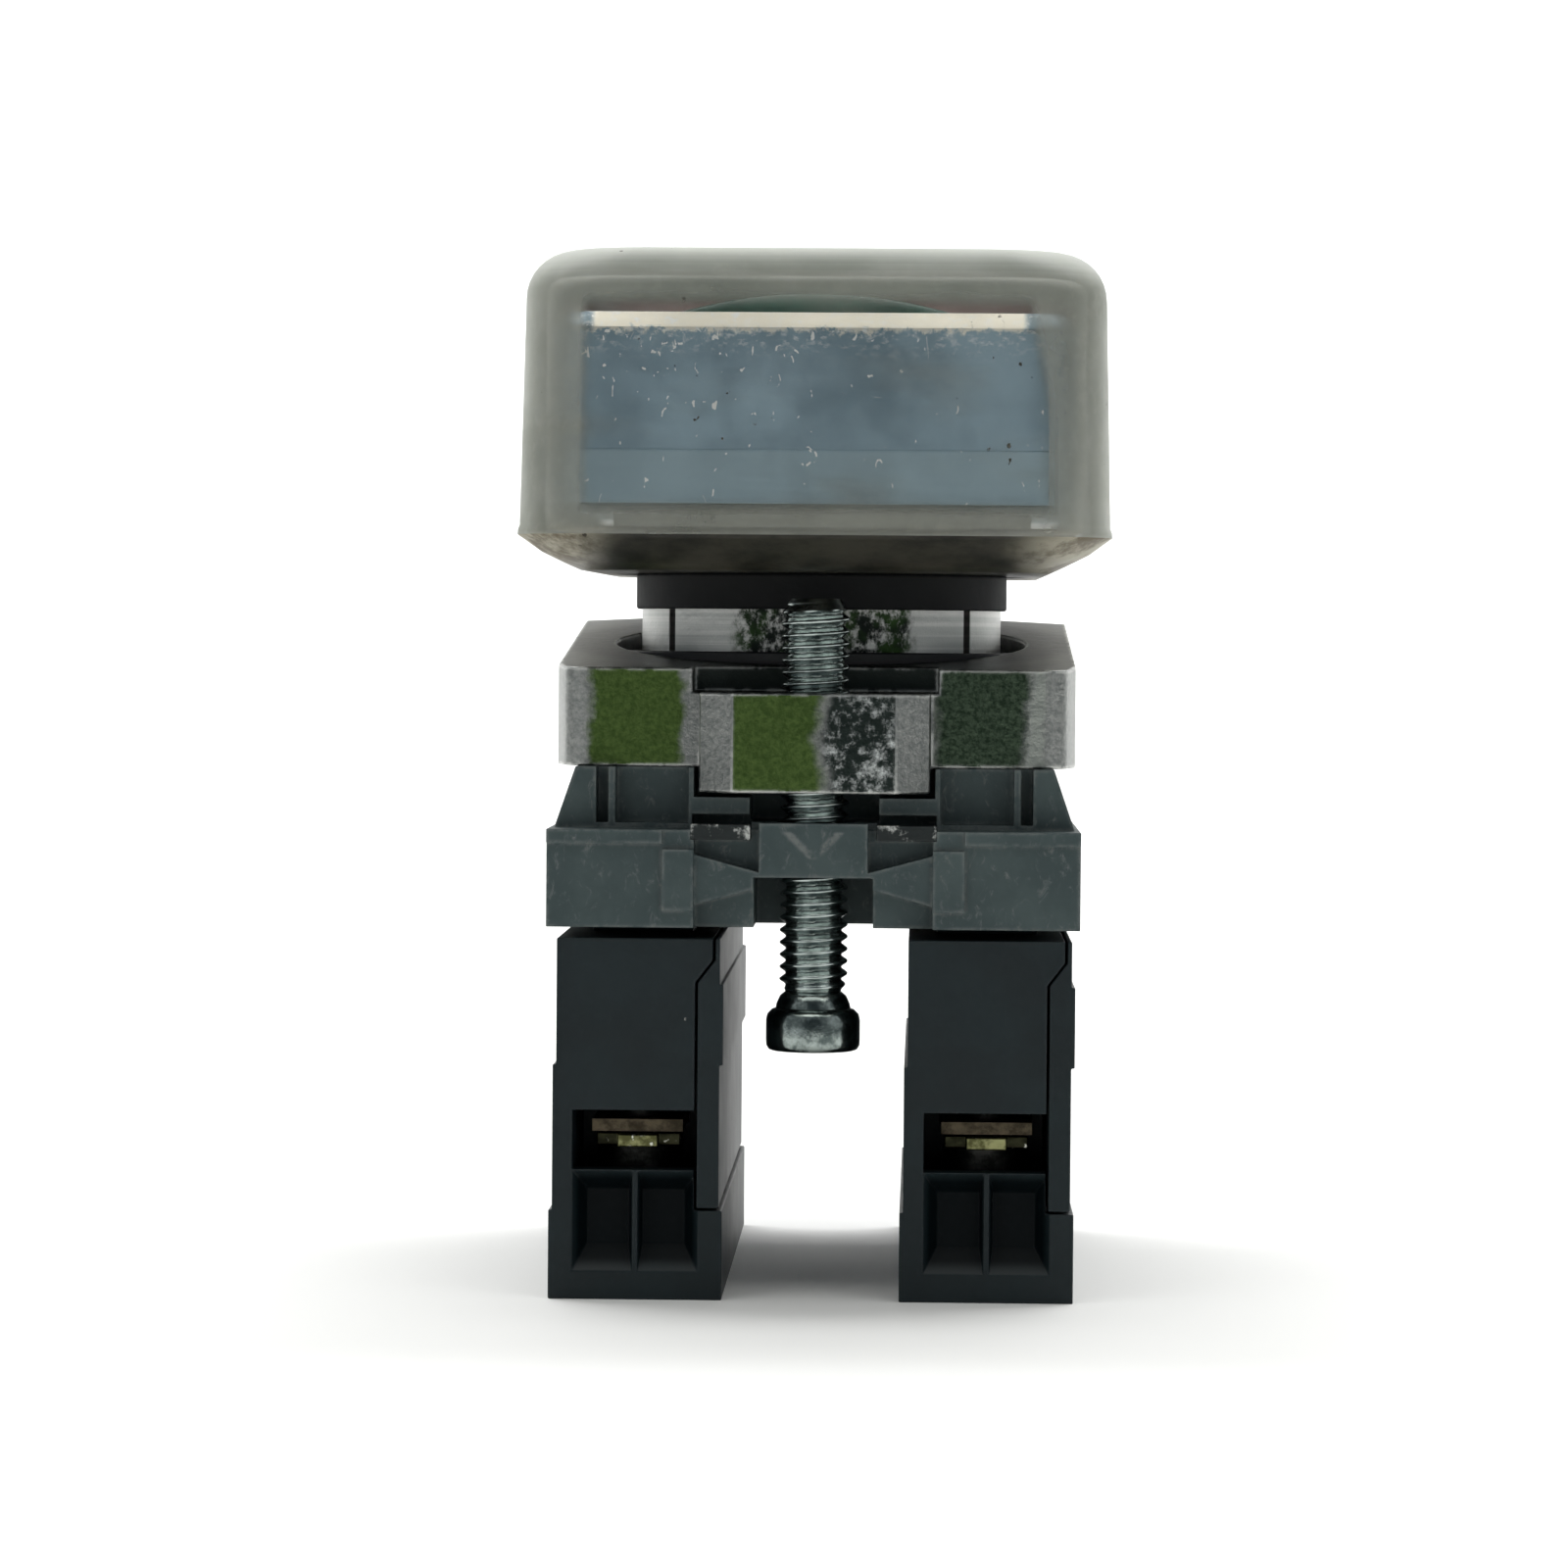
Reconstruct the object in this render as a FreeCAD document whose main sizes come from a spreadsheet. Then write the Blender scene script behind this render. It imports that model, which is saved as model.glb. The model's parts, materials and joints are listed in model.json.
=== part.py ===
import FreeCAD, Part
import math
import os
import re

import Sketcher
from FreeCAD import Placement, Rotation, Vector

# Double-headed 22 mm push button under a soft boot, with two contact blocks.
# +Z points out of the panel, towards the operator. The origin is on the barrel's
# axis, at the rear faces of the contact blocks. The heads lie along Y.

SIZES = [
    # contact blocks
    ("block_offset", "10", "barrel axis to each block's middle"),
    ("block_width", "9.9", "block width at its foot"),
    ("block_length", "39", "block length, wire entry to wire entry"),
    ("block_height", "20.6", "block height, rear face to shoulder"),
    ("block_neck", "0.6", "neck between a block and the carrier"),
    ("block_neck_width", "5.8", "width of that neck"),
    ("block_neck_length", "24", "length of that neck"),
    ("block_step", "0.2", "set-back of each side at a step"),
    ("foot_height", "5.1", "height of the lower step"),
    ("waist_height", "13.4", "height of the upper step"),
    ("block_wall", "1.2", "wall of a block"),
    ("floor_wall", "1.6", "floor of a block"),
    ("cover_thickness", "1.6", "thickness of a block's side cover"),
    ("cover_groove", "0.15", "open joint round a side cover"),
    ("cover_shoulder", "2.5", "top of the cover's slope, below the block's shoulder"),
    ("cover_slope", "1.3", "height of the cover's slope"),
    ("cover_lip", "0.6", "width of the cover above its slope"),
    ("cover_rib", "0.35", "stand of the rib on the cover's edge"),
    ("cover_rib_height", "4.6", "length of that rib"),
    ("mechanism_length", "18", "length of the chamber in the middle of a block"),
    ("bulkhead", "1.2", "wall between that chamber and a terminal"),
    ("entry_width", "7.2", "width of a wire entry"),
    ("entry_bottom", "7.4", "lower edge of a wire entry"),
    ("entry_height", "3.4", "height of a wire entry"),
    ("entry_wall", "1.9", "thickness of the wall round a wire entry"),
    ("funnel_rib", "0.3", "rib between the two funnels under an entry"),
    ("funnel_bottom", "1.6", "lower edge of a funnel"),
    ("funnel_inset", "0.8", "how far a funnel's sides slope in"),
    ("funnel_rise", "1.5", "height of a funnel's lower slope"),
    ("funnel_drop", "1.2", "height of a funnel's upper slope"),
    ("funnel_depth", "1.3", "depth of a funnel"),
    ("terminal_inset", "5.9", "end face to a terminal screw's axis"),
    ("terminal_depth", "1.1", "chamber below the wire entry's edge"),
    ("terminal_headroom", "2", "chamber above the wire entry"),
    # terminals and contacts
    ("strip_level", "9.4", "underside of a contact strip"),
    ("strip_thickness", "0.7", "thickness of a contact strip"),
    ("strip_width", "5.2", "width of a contact strip"),
    ("strip_reach", "5.3", "barrel plane to a strip's inner end"),
    ("strip_inset", "2.3", "end face to a strip's outer end"),
    ("rivet_radius", "1.3", "radius of a contact rivet"),
    ("rivet_height", "0.45", "height of a contact rivet"),
    ("rivet_place", "6.6", "middle of a block to a contact rivet"),
    ("bridge_length", "16", "length of a moving contact bridge"),
    ("bridge_width", "4.4", "width of a moving contact bridge"),
    ("bridge_waist", "2", "width of the bridge inside the plunger"),
    ("bridge_thickness", "0.5", "thickness of a moving contact bridge"),
    ("contact_gap", "0.1", "gap left between contacts that are closed"),
    ("clamp_thickness", "0.7", "thickness of a wire clamp plate"),
    ("clamp_width", "4.8", "width of a wire clamp plate"),
    ("clamp_length", "4.8", "length of a wire clamp plate"),
    ("clamp_tongue", "2.3", "width of the plate's tongue"),
    ("clamp_gap", "0.2", "clamp plate to strip, tightened with no wire"),
    ("terminal_thread_radius", "1.7", "radius of a terminal screw's thread"),
    ("terminal_head_radius", "2.5", "radius of a terminal screw's head"),
    ("terminal_head_height", "2.2", "height of a terminal screw's head"),
    ("terminal_shank", "4", "length of a terminal screw's thread"),
    ("driver_clearance", "0.3", "radial room round a terminal screw's head"),
    ("thread_fit", "0.05", "radial clearance of a thread in its hole"),
    ("recess_width", "0.8", "width of a screw's cross recess"),
    ("recess_depth", "1.2", "depth of a screw's cross recess"),
    # plungers
    ("plunger_width", "3.4", "plunger stem across the block"),
    ("plunger_length", "4.8", "plunger stem along the block"),
    ("plunger_fit", "0.15", "room round the stem in the block's roof"),
    ("plunger_cap", "2.2", "height of the plunger's cap"),
    ("cap_outer", "10.4", "barrel axis to the cap's outer edge"),
    ("cap_inner", "6", "barrel axis to the cap's inner edge"),
    ("stop_width", "5.2", "stop flange across the block"),
    ("stop_length", "6.4", "stop flange along the block"),
    ("stop_thickness", "1.2", "thickness of the stop flange"),
    ("spring_wire", "0.35", "wire of a plunger spring"),
    ("spring_radius", "1.25", "mean radius of a plunger spring"),
    ("left_foot", "2.2", "left plunger's foot below its contact bridge"),
    ("right_foot", "1.4", "right plunger's foot below its contact bridge"),
    # carrier
    ("carrier_stand", "0.2", "carrier beyond the collar, each side"),
    ("carrier_inset", "0.3", "carrier inside the blocks' ends, each end"),
    ("carrier_height", "9.1", "height of the block carrier"),
    ("carrier_tier", "5.6", "height of the carrier's wide lower tier"),
    ("carrier_floor", "2", "floor of the carrier"),
    ("tier_setback", "0.3", "upper tier inside the lower one, each side"),
    ("tier_slope", "1.2", "how far the upper tier's sides lean in"),
    ("tier_inset", "2", "upper tier inside the lower one, each end"),
    ("well_width", "24.6", "width of the carrier's well"),
    ("well_length", "21.2", "length of the carrier's well"),
    ("channel_width", "6.8", "width of the channel for the clamp screw"),
    ("channel_back", "13.3", "barrel axis to the back of that channel"),
    ("boss_width", "6.2", "width of the screw guide"),
    ("boss_bottom", "2.9", "screw guide's underside above the carrier's"),
    ("boss_height", "3.1", "height of the screw guide"),
    ("ledge_inner", "8.6", "barrel plane to the end ledge"),
    ("ledge_height", "0.8", "height of the end ledge"),
    ("ledge_stand", "0.3", "stand of the end ledge"),
    ("pad_inner", "6.8", "barrel plane to the raised pad"),
    ("pad_bottom", "1", "raised pad's foot above the carrier's"),
    ("pad_height", "3.5", "height of the raised pad"),
    ("pad_stand", "0.4", "stand of the raised pad"),
    ("arrow_depth", "1.2", "set-back above and below each arrow"),
    ("arrow_tip", "0.9", "height of an arrow at its tip"),
    ("arrow_foot", "2.9", "height of an arrow at its foot"),
    ("window_inner", "7.2", "barrel plane to the window"),
    ("window_rib", "11.4", "barrel plane to the window's rib"),
    ("rib_width", "0.4", "width of that rib"),
    ("window_outer", "12.5", "barrel plane to the window's far edge"),
    ("window_depth", "1.5", "depth of the window"),
    ("window_bottom", "0.3", "window's lower edge above the lower tier"),
    ("clip_slot_inner", "3.6", "barrel plane to the clip's slot"),
    ("clip_slot_width", "3.4", "width of the clip's slot"),
    ("clip_slot_height", "1.4", "height of the clip's slot"),
    ("clip_thickness", "0.4", "thickness of a steel clip"),
    ("clip_length", "3.6", "length of a steel clip"),
    ("clip_lip", "0.5", "height of a clip's bent lip"),
    # collar
    ("collar_width", "30", "width of the cast collar"),
    ("collar_height", "5.7", "height of the cast collar"),
    ("collar_front", "15.8", "barrel axis to the side lobes' faces"),
    ("collar_back", "15.5", "barrel axis to the collar's far face"),
    ("collar_corner", "1.6", "radius of a side lobe's corner"),
    ("collar_taper", "0.8", "side lobes' faces narrower than the collar, each side"),
    ("collar_flare", "3.2", "side lobe's face to the collar's full width"),
    ("collar_chamfer", "3", "far corners' chamfer"),
    ("collar_rise", "3", "rise of the far wall above the side lobes"),
    ("lobe_width", "13.2", "width of the screw lobe"),
    ("lobe_face", "9.3", "width of the screw lobe's flat face"),
    ("lobe_reach", "19.5", "barrel axis to the screw lobe's face"),
    ("lobe_flank", "1.9", "depth of the screw lobe's flanks"),
    ("lobe_drop", "1.4", "how much lower the screw lobe lies"),
    ("ring_inner_gap", "0.25", "locking ring to barrel"),
    ("ring_width", "1.15", "radial width of the locking ring"),
    ("ring_height", "2.1", "height of the locking ring"),
    ("ring_fit", "0.1", "locking ring to collar"),
    ("ring_lift", "1.2", "locking ring's underside below the side lobes' tops"),
    ("lever_width", "3", "width of the locking lever"),
    ("lever_reach", "17.6", "barrel axis to the lever's end"),
    ("lever_swing", "24", "angle from locked to unlocked, in degrees"),
    ("lever_window", "13", "width of the lever's window in the far wall"),
    ("clamp_axis", "16.5", "barrel axis to the clamp screw's axis"),
    ("clamp_thread_radius", "1.95", "radius of the clamp screw's thread"),
    ("clamp_head_radius", "2.7", "radius of the clamp screw's head"),
    ("clamp_head_height", "2.4", "height of the clamp screw's head"),
    ("clamp_head_level", "14.1", "clamp screw's head above the blocks' rear faces"),
    ("clamp_length_under_head", "23.5", "clamp screw's length under its head"),
    ("clamp_tip_chamfer", "0.5", "chamfer at the clamp screw's tip"),
    ("clamp_head_chamfer", "0.4", "chamfer round the clamp screw's head"),
    ("guide_clearance", "0.35", "radial room round the screw in its guide"),
    # barrel and panel seat
    ("barrel_radius", "10.8", "outside radius of the barrel"),
    ("barrel_wall", "1.1", "wall of the barrel"),
    ("barrel_fit", "0.08", "radial clearance of the barrel in the collar"),
    ("barrel_lift", "1", "barrel's end above the collar's underside"),
    ("barrel_show", "3.4", "barrel seen between side lobes and sleeve"),
    ("barrel_slot", "0.65", "width of a slot in the barrel"),
    ("barrel_slot_angle", "54", "slot's angle from the Y axis, in degrees"),
    ("sleeve_wall", "0.35", "wall of the sleeve that centres the panel hole"),
    ("sleeve_height", "2.1", "height of that sleeve"),
    ("flange_stand", "1.7", "stand of the barrel's top flange"),
    ("flange_thickness", "1", "thickness of the barrel's top flange"),
    ("gasket_width", "1.8", "radial width of the gasket under the bezel"),
    ("gasket_height", "1.3", "height of the gasket under the bezel"),
    # bezel and buttons
    ("bezel_width", "30", "width of the bezel"),
    ("bezel_length", "50", "length of the bezel"),
    ("bezel_height", "10.7", "height of the bezel"),
    ("bezel_corner", "3", "corner radius of the bezel"),
    ("bezel_wall", "1.6", "wall of the bezel"),
    ("bezel_floor", "1.2", "floor of the bezel"),
    ("bezel_step", "0.15", "set-back of the bezel's upper part"),
    ("bezel_step_height", "3", "height of the bezel's foot"),
    ("bezel_bevel", "0.9", "bevel round the bezel's rim"),
    ("separator_width", "3", "bar between the two buttons"),
    ("separator_rise", "0.2", "bar above the bezel's rim"),
    ("button_gap", "0.25", "gap round a button"),
    ("button_rise", "1.15", "crown of a button above the bezel's rim"),
    ("button_drop", "3.4", "height of a button's crown over its sides"),
    ("button_wall", "1.4", "wall of a button"),
    ("button_roof", "1.1", "thickness of a button at its crown's foot"),
    ("button_edge", "0.6", "rounding of a button's upper edges"),
    ("press_travel", "3.5", "travel of a button"),
    ("stop_gap", "0.3", "gap kept at the end of a movement"),
    ("foot_gap", "0.7", "pusher's foot above the carrier's top"),
    ("press_gap", "0.15", "pusher's foot to plunger"),
    ("pusher_fit", "0.15", "radial clearance of a pusher in the barrel"),
    ("pusher_split", "0.8", "gap between the two pushers"),
    ("pusher_leg", "6.2", "barrel axis to a pusher leg's outer sides"),
    ("pusher_plate", "1.4", "thickness of a pusher's top plate"),
    ("button_spring_wire", "0.4", "wire of a button spring"),
    ("button_spring_radius", "2.6", "mean radius of a button spring"),
    ("button_spring_inset", "6.4", "bezel's end to a button spring's axis"),
    # boot
    ("boot_clearance", "0.2", "room between bezel and boot"),
    ("boot_wall", "1.7", "wall of the boot"),
    ("boot_roof", "1.6", "top of the boot"),
    ("boot_headroom", "2", "bezel's rim to the inside of the boot's top"),
    ("boot_corner", "5", "corner radius of the boot"),
    ("boot_edge", "2.8", "radius round the boot's top"),
    ("boot_taper", "1.3", "draft of the boot's sides, in degrees"),
    ("boot_skirt", "1.8", "height of the skirt under the boot's lip"),
    ("boot_skirt_width", "3.4", "how far the skirt slopes in"),
    ("boot_sole", "2.4", "thickness of the boot's sole"),
    ("boot_lip", "0.8", "height of the boot's lip"),
    ("boot_lip_stand", "0.12", "stand of the boot's lip"),
    ("boot_neck_gap", "0.15", "room round the barrel in the boot's sole"),
    # making
    ("overrun", "1", "how far a cut runs past a face, or a join into its neighbour"),
]

# Levels and places that follow from the sizes.
LEVELS = {
    "carrier_width": "collar_width + 2 * carrier_stand",
    "carrier_length": "block_length - 2 * carrier_inset",
    "carrier_bottom": "block_height + block_neck",
    "carrier_step": "carrier_bottom + carrier_tier",
    "carrier_top": "carrier_bottom + carrier_height",
    "tier_width": "carrier_width - 2 * tier_setback",
    "tier_top_width": "tier_width - 2 * tier_slope",
    "tier_length": "carrier_length - 2 * tier_inset",
    "well_floor": "carrier_bottom + carrier_floor",
    "collar_top": "carrier_top + collar_height",
    "lobe_bottom": "carrier_top - lobe_drop",
    "lobe_top": "collar_top - lobe_drop",
    "ring_bottom": "collar_top - ring_lift",
    "ring_inner": "barrel_radius + ring_inner_gap",
    "ring_outer": "ring_inner + ring_width",
    "sleeve_radius": "barrel_radius + sleeve_wall",
    "flange_radius": "barrel_radius + flange_stand",
    "gasket_radius": "barrel_radius + gasket_width",
    "sleeve_bottom": "collar_top + barrel_show",
    "boot_bottom": "sleeve_bottom + sleeve_height",
    "boot_lip_level": "boot_bottom + boot_skirt",
    "gasket_bottom": "boot_bottom + boot_sole",
    "bezel_bottom": "gasket_bottom + gasket_height",
    "bezel_floor_top": "bezel_bottom + bezel_floor",
    "bezel_top": "bezel_bottom + bezel_height",
    "boot_inside_top": "bezel_top + boot_headroom",
    "boot_top": "boot_inside_top + boot_roof",
    "boot_half_width": "bezel_width / 2 + boot_clearance + boot_wall",
    "boot_half_length": "bezel_length / 2 + boot_clearance + boot_wall",
    "flange_top": "bezel_floor_top + flange_thickness",
    "bore_radius": "barrel_radius - barrel_wall",
    "pusher_radius": "bore_radius - pusher_fit",
    "pusher_foot": "carrier_top + foot_gap",
    "button_bottom": "flange_top + press_travel + stop_gap",
    "button_crown": "bezel_top + button_rise",
    "button_hollow_top": "button_crown - button_roof - button_drop",
    "button_half_width": "bezel_width / 2 - bezel_wall - button_gap",
    "button_dome": "button_half_width ^ 2 / (2 * button_drop) + button_drop / 2",
    "button_near": "separator_width / 2 + button_gap",
    "button_far": "bezel_length / 2 - bezel_wall - button_gap",
    "plate_top": "button_hollow_top",
    "plate_bottom": "plate_top - pusher_plate",
    "button_spring_place": "bezel_length / 2 - button_spring_inset",
    "plunger_top": "pusher_foot - press_gap",
    "stem_top": "plunger_top - plunger_cap",
    "roof_bottom": "block_height - block_wall",
    "stop_top": "roof_bottom - stop_gap",
    "strip_top": "strip_level + strip_thickness",
    "high_bridge": "strip_top + 2 * rivet_height + press_travel + contact_gap",
    "low_bridge": "strip_level - 2 * rivet_height - contact_gap - bridge_thickness",
    "clamp_top": "strip_level - clamp_gap",
    "clamp_bottom": "clamp_top - clamp_thickness",
    "terminal_place": "block_length / 2 - terminal_inset",
    "chamber_inner": "mechanism_length / 2 + bulkhead",
    "chamber_outer": "block_length / 2 - entry_wall",
    "chamber_bottom": "entry_bottom - terminal_depth",
    "entry_top": "entry_bottom + entry_height",
    "cover_inside": "block_width / 2 - cover_thickness",
    "driver_hole": "terminal_head_radius + driver_clearance",
    "clamp_head_top": "clamp_head_level + clamp_head_height",
    "clamp_tip": "clamp_head_top + clamp_length_under_head",
    "arrow_middle": "carrier_bottom + pad_bottom + pad_height / 2",
    "clip_slot_bottom": "carrier_step - clip_slot_height / 2 + clip_lip / 4",
}

TOUCH = 1e-3
SAME = 1e-5
UPRIGHT = 0.99
PLUNGER_SPRING_TURNS = 5
BUTTON_SPRING_TURNS = 3
PLANE_NORMALS = {"XY_Plane": 1, "XZ_Plane": -1, "YZ_Plane": 1}

doc = FreeCAD.newDocument("push_button")
sheet = doc.addObject("Spreadsheet::Sheet", "Sizes")
SIZE_NAMES = {alias for alias, value, note in SIZES}
NODES = []


def fill_sheet():
    for row, (alias, value, note) in enumerate(SIZES, 1):
        sheet.set(f"A{row}", note)
        sheet.set(f"B{row}", value)
        sheet.setAlias(f"B{row}", alias)
    doc.recompute()


def bound(expression):
    """The expression with every size and level named by its cell."""
    def cell(match):
        word = match.group(0)
        if word in LEVELS:
            return f"({bound(LEVELS[word])})"
        if word in SIZE_NAMES:
            return f"Sizes.{word}"
        return word
    return re.sub(r"[a-z_]+", cell, expression)


def value(expression):
    return float(sheet.evalExpression(bound(expression)))


def negative(expression):
    return f"-({expression})"


def both_sides(half):
    return (negative(half), half)


def towards(sign, low, high):
    """The span from low to high, or its mirror image for a sign of -1."""
    if sign > 0:
        return (low, high)
    return (negative(high), negative(low))


def new_body(name):
    body = doc.addObject("PartDesign::Body", name)
    body.Label = name
    NODES.append(body)
    return body


def new_feature(body, kind):
    """A feature of the body. Only the last one of a body joins its faces."""
    if body.Tip:
        body.Tip.Refine = False
    return body.newObject(f"PartDesign::{kind}", f"{body.Name}_{kind.lower()}")


def put(feature, x, y, z):
    for axis, expression in zip("xyz", (x, y, z)):
        feature.setExpression(f"Placement.Base.{axis}", bound(expression))


def box(body, kind, x, y, z):
    """A box between two values on each axis; kind is Additive or Subtractive."""
    return size_box(new_feature(body, f"{kind}Box"), x, y, z)


def cylinder(body, kind, radius, z, x="0", y="0"):
    return size_cylinder(new_feature(body, f"{kind}Cylinder"), radius, z, x, y)


def size_box(feature, x, y, z):
    for size, (low, high) in zip(("Length", "Width", "Height"), (x, y, z)):
        feature.setExpression(size, bound(f"({high}) - ({low})"))
    put(feature, x[0], y[0], z[0])
    return feature


def size_cylinder(feature, radius, z, x, y):
    feature.setExpression("Radius", bound(radius))
    feature.setExpression("Height", bound(f"({z[1]}) - ({z[0]})"))
    put(feature, x, y, z[0])
    return feature


def loose_box(x, y, z):
    """A box for a boolean."""
    return size_box(doc.addObject("Part::Box", "loose_box"), x, y, z)


def loose_cylinder(radius, z, x="0", y="0"):
    """An upright cylinder for a boolean."""
    return size_cylinder(doc.addObject("Part::Cylinder", "loose_cylinder"), radius, z, x, y)


def loose_prism(span, points):
    """A prism for a boolean, from its outline in X and Z, between two values of Y."""
    sketch = doc.addObject("Sketcher::SketchObject", "loose_outline")
    sketch.Placement = Placement(Vector(), Rotation(Vector(1, 0, 0), 90))
    sketch.setExpression("Placement.Base.y", bound(span[1]))
    draw_outline(sketch, points, {})
    prism = doc.addObject("Part::Extrusion", "loose_prism")
    prism.Base = sketch
    prism.DirMode = "Normal"
    prism.Solid = True
    prism.setExpression("LengthFwd", bound(f"({span[1]}) - ({span[0]})"))
    return prism


def carved(name, added, removed):
    """A node of the first solids joined, less the second."""
    blank = doc.addObject("Part::MultiFuse", f"{name}_blank")
    blank.Shapes = added
    tool = doc.addObject("Part::MultiFuse", f"{name}_tool")
    tool.Shapes = removed
    node = doc.addObject("Part::Cut", name)
    node.Label = name
    node.Base = blank
    node.Tool = tool
    node.Refine = True
    NODES.append(node)


def rounded_slab(body, kind, half_width, half_length, corner, z):
    """A slab with round corners: two crossed boxes and a cylinder at each corner."""
    short_width = f"{half_width} - ({corner})"
    short_length = f"{half_length} - ({corner})"
    box(body, kind, both_sides(half_width), both_sides(short_length), z)
    box(body, kind, both_sides(short_width), both_sides(half_length), z)
    for x_sign in (-1, 1):
        for y_sign in (-1, 1):
            cylinder(body, kind, corner, z,
                     f"{x_sign} * ({short_width})", f"{y_sign} * ({short_length})")


def ring(body, outer, inner, z):
    cylinder(body, "Additive", outer, z)
    cylinder(body, "Subtractive", inner, z)


def frustum(body, kind, y, low_x, low_z, high_x, high_z):
    """A four-sided taper along Y, from a rectangle at y[0] to one at y[1]."""
    feature = new_feature(body, f"{kind}Wedge")
    limits = {
        "Ymin": y[0], "Ymax": y[1],
        "Xmin": low_x[0], "Xmax": low_x[1], "Zmin": low_z[0], "Zmax": low_z[1],
        "X2min": high_x[0], "X2max": high_x[1], "Z2min": high_z[0], "Z2max": high_z[1],
    }
    for name, expression in limits.items():
        feature.setExpression(name, bound(expression))
    return feature


def outline(body, plane, start, points, arcs=None):
    """A closed sketch through the points, as lines, or arcs of the radii given."""
    sketch = body.newObject("Sketcher::SketchObject", f"{body.Name}_outline")
    origin_plane = [item for item in body.Origin.OriginFeatures if item.Role == plane][0]
    sketch.AttachmentSupport = [(origin_plane, "")]
    sketch.MapMode = "FlatFace"
    offset = start if PLANE_NORMALS[plane] > 0 else negative(start)
    sketch.setExpression("AttachmentOffset.Base.z", bound(offset))
    draw_outline(sketch, points, arcs or {})
    return sketch


def draw_outline(sketch, points, arcs):
    """Lines and arcs from point to point, each point held by its two expressions."""
    corners = [Vector(value(u), value(v), 0) for u, v in points]
    count = len(corners)
    for index, corner in enumerate(corners):
        following = corners[(index + 1) % count]
        if index in arcs:
            sketch.addGeometry(arc_between(corner, following, value(arcs[index])))
        else:
            sketch.addGeometry(Part.LineSegment(corner, following))
    for index in range(count):
        sketch.addConstraint(Sketcher.Constraint("Coincident", index, 2, (index + 1) % count, 1))
    for index, pair in enumerate(points):
        for kind, expression in zip(("DistanceX", "DistanceY"), pair):
            rule = Sketcher.Constraint(kind, -1, 1, index, 1, value(expression))
            sketch.setExpression(f"Constraints[{sketch.addConstraint(rule)}]", bound(expression))
    for index, radius in arcs.items():
        rule = Sketcher.Constraint("Radius", index, value(radius))
        sketch.setExpression(f"Constraints[{sketch.addConstraint(rule)}]", bound(radius))


def arc_between(first, last, radius):
    """The short arc of that radius which bulges to the right of the way from first to last."""
    half = (last - first) / 2
    normal = Vector(half.y, -half.x, 0).normalize()
    centre = first + half - normal * math.sqrt(radius ** 2 - half.Length ** 2)
    circle = Part.Circle(centre, Vector(0, 0, 1), radius)
    start = math.atan2(first.y - centre.y, first.x - centre.x)
    end = math.atan2(last.y - centre.y, last.x - centre.x)
    return Part.ArcOfCircle(circle, start, end)


def pad(body, plane, span, points, arcs=None):
    """Material over the outline, between two values along the plane's normal axis."""
    start = span[0] if PLANE_NORMALS[plane] > 0 else span[1]
    profile = outline(body, plane, start, points, arcs)
    feature = new_feature(body, "Pad")
    feature.Profile = profile
    feature.setExpression("Length", bound(f"({span[1]}) - ({span[0]})"))
    return feature


def pocket(body, plane, span, points, arcs=None):
    """A cut over the outline, between two values along the plane's normal axis."""
    doc.recompute()
    before = body.Shape.Volume
    start = span[0] if PLANE_NORMALS[plane] > 0 else span[1]
    profile = outline(body, plane, start, points, arcs)
    feature = new_feature(body, "Pocket")
    feature.Profile = profile
    feature.Reversed = True
    feature.setExpression("Length", bound(f"({span[1]}) - ({span[0]})"))
    doc.recompute()
    if body.Shape.Volume >= before:
        raise RuntimeError(f"{feature.Name} cuts nothing")
    return feature


def dress(body, kind, test, **sizes):
    """A Fillet or Chamfer on the edges of the solid so far that pass the test."""
    doc.recompute()
    base = body.Tip
    names = [f"Edge{n}" for n, edge in enumerate(base.Shape.Edges, 1) if test(edge)]
    feature = new_feature(body, kind)
    feature.Base = (base, names)
    for name, expression in sizes.items():
        feature.setExpression(name, bound(expression))
    return feature


def upright(edge):
    """Whether an edge is straight and runs along Z, give or take a draft."""
    ends = [vertex.Point for vertex in edge.Vertexes]
    if len(ends) < 2:
        return False
    run = ends[1] - ends[0]
    return abs(run.z) > UPRIGHT * run.Length and abs(run.Length - edge.Length) < SAME


def level_at(z):
    """A test for edges that lie flat at that height."""
    height = value(z)
    return lambda edge: abs(edge.BoundBox.ZMin - height) + abs(edge.BoundBox.ZMax - height) < SAME


def all_of(*tests):
    return lambda edge: all(test(edge) for test in tests)


def shift(body, x="0", y="0", turn="0"):
    """Place a finished body, turned about Z."""
    body.Placement = Placement(Vector(value(x), value(y), 0), Rotation(Vector(0, 0, 1), 0))
    body.setExpression("Placement.Base.x", bound(x))
    body.setExpression("Placement.Base.y", bound(y))
    body.setExpression("Placement.Rotation.Angle", bound(turn))


def coil(name, radius, wire, bottom, top, turns, x, y):
    """A round-wire compression spring, which touches both the levels given."""
    wire_radius = value(wire) / 2
    rise = value(top) - value(bottom) - 2 * wire_radius
    helix = Part.makeLongHelix(rise / turns, rise, value(radius))
    section = Part.Wire(Part.makeCircle(wire_radius, Vector(value(radius), 0, 0), Vector(0, 1, 0)))
    spring = doc.addObject("Part::Feature", name)
    spring.Label = name
    spring.Shape = Part.Wire(helix).makePipeShell([section], True, True)
    spring.Placement = Placement(Vector(value(x), value(y), value(bottom) + wire_radius),
                                 Rotation())
    NODES.append(spring)


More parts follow.
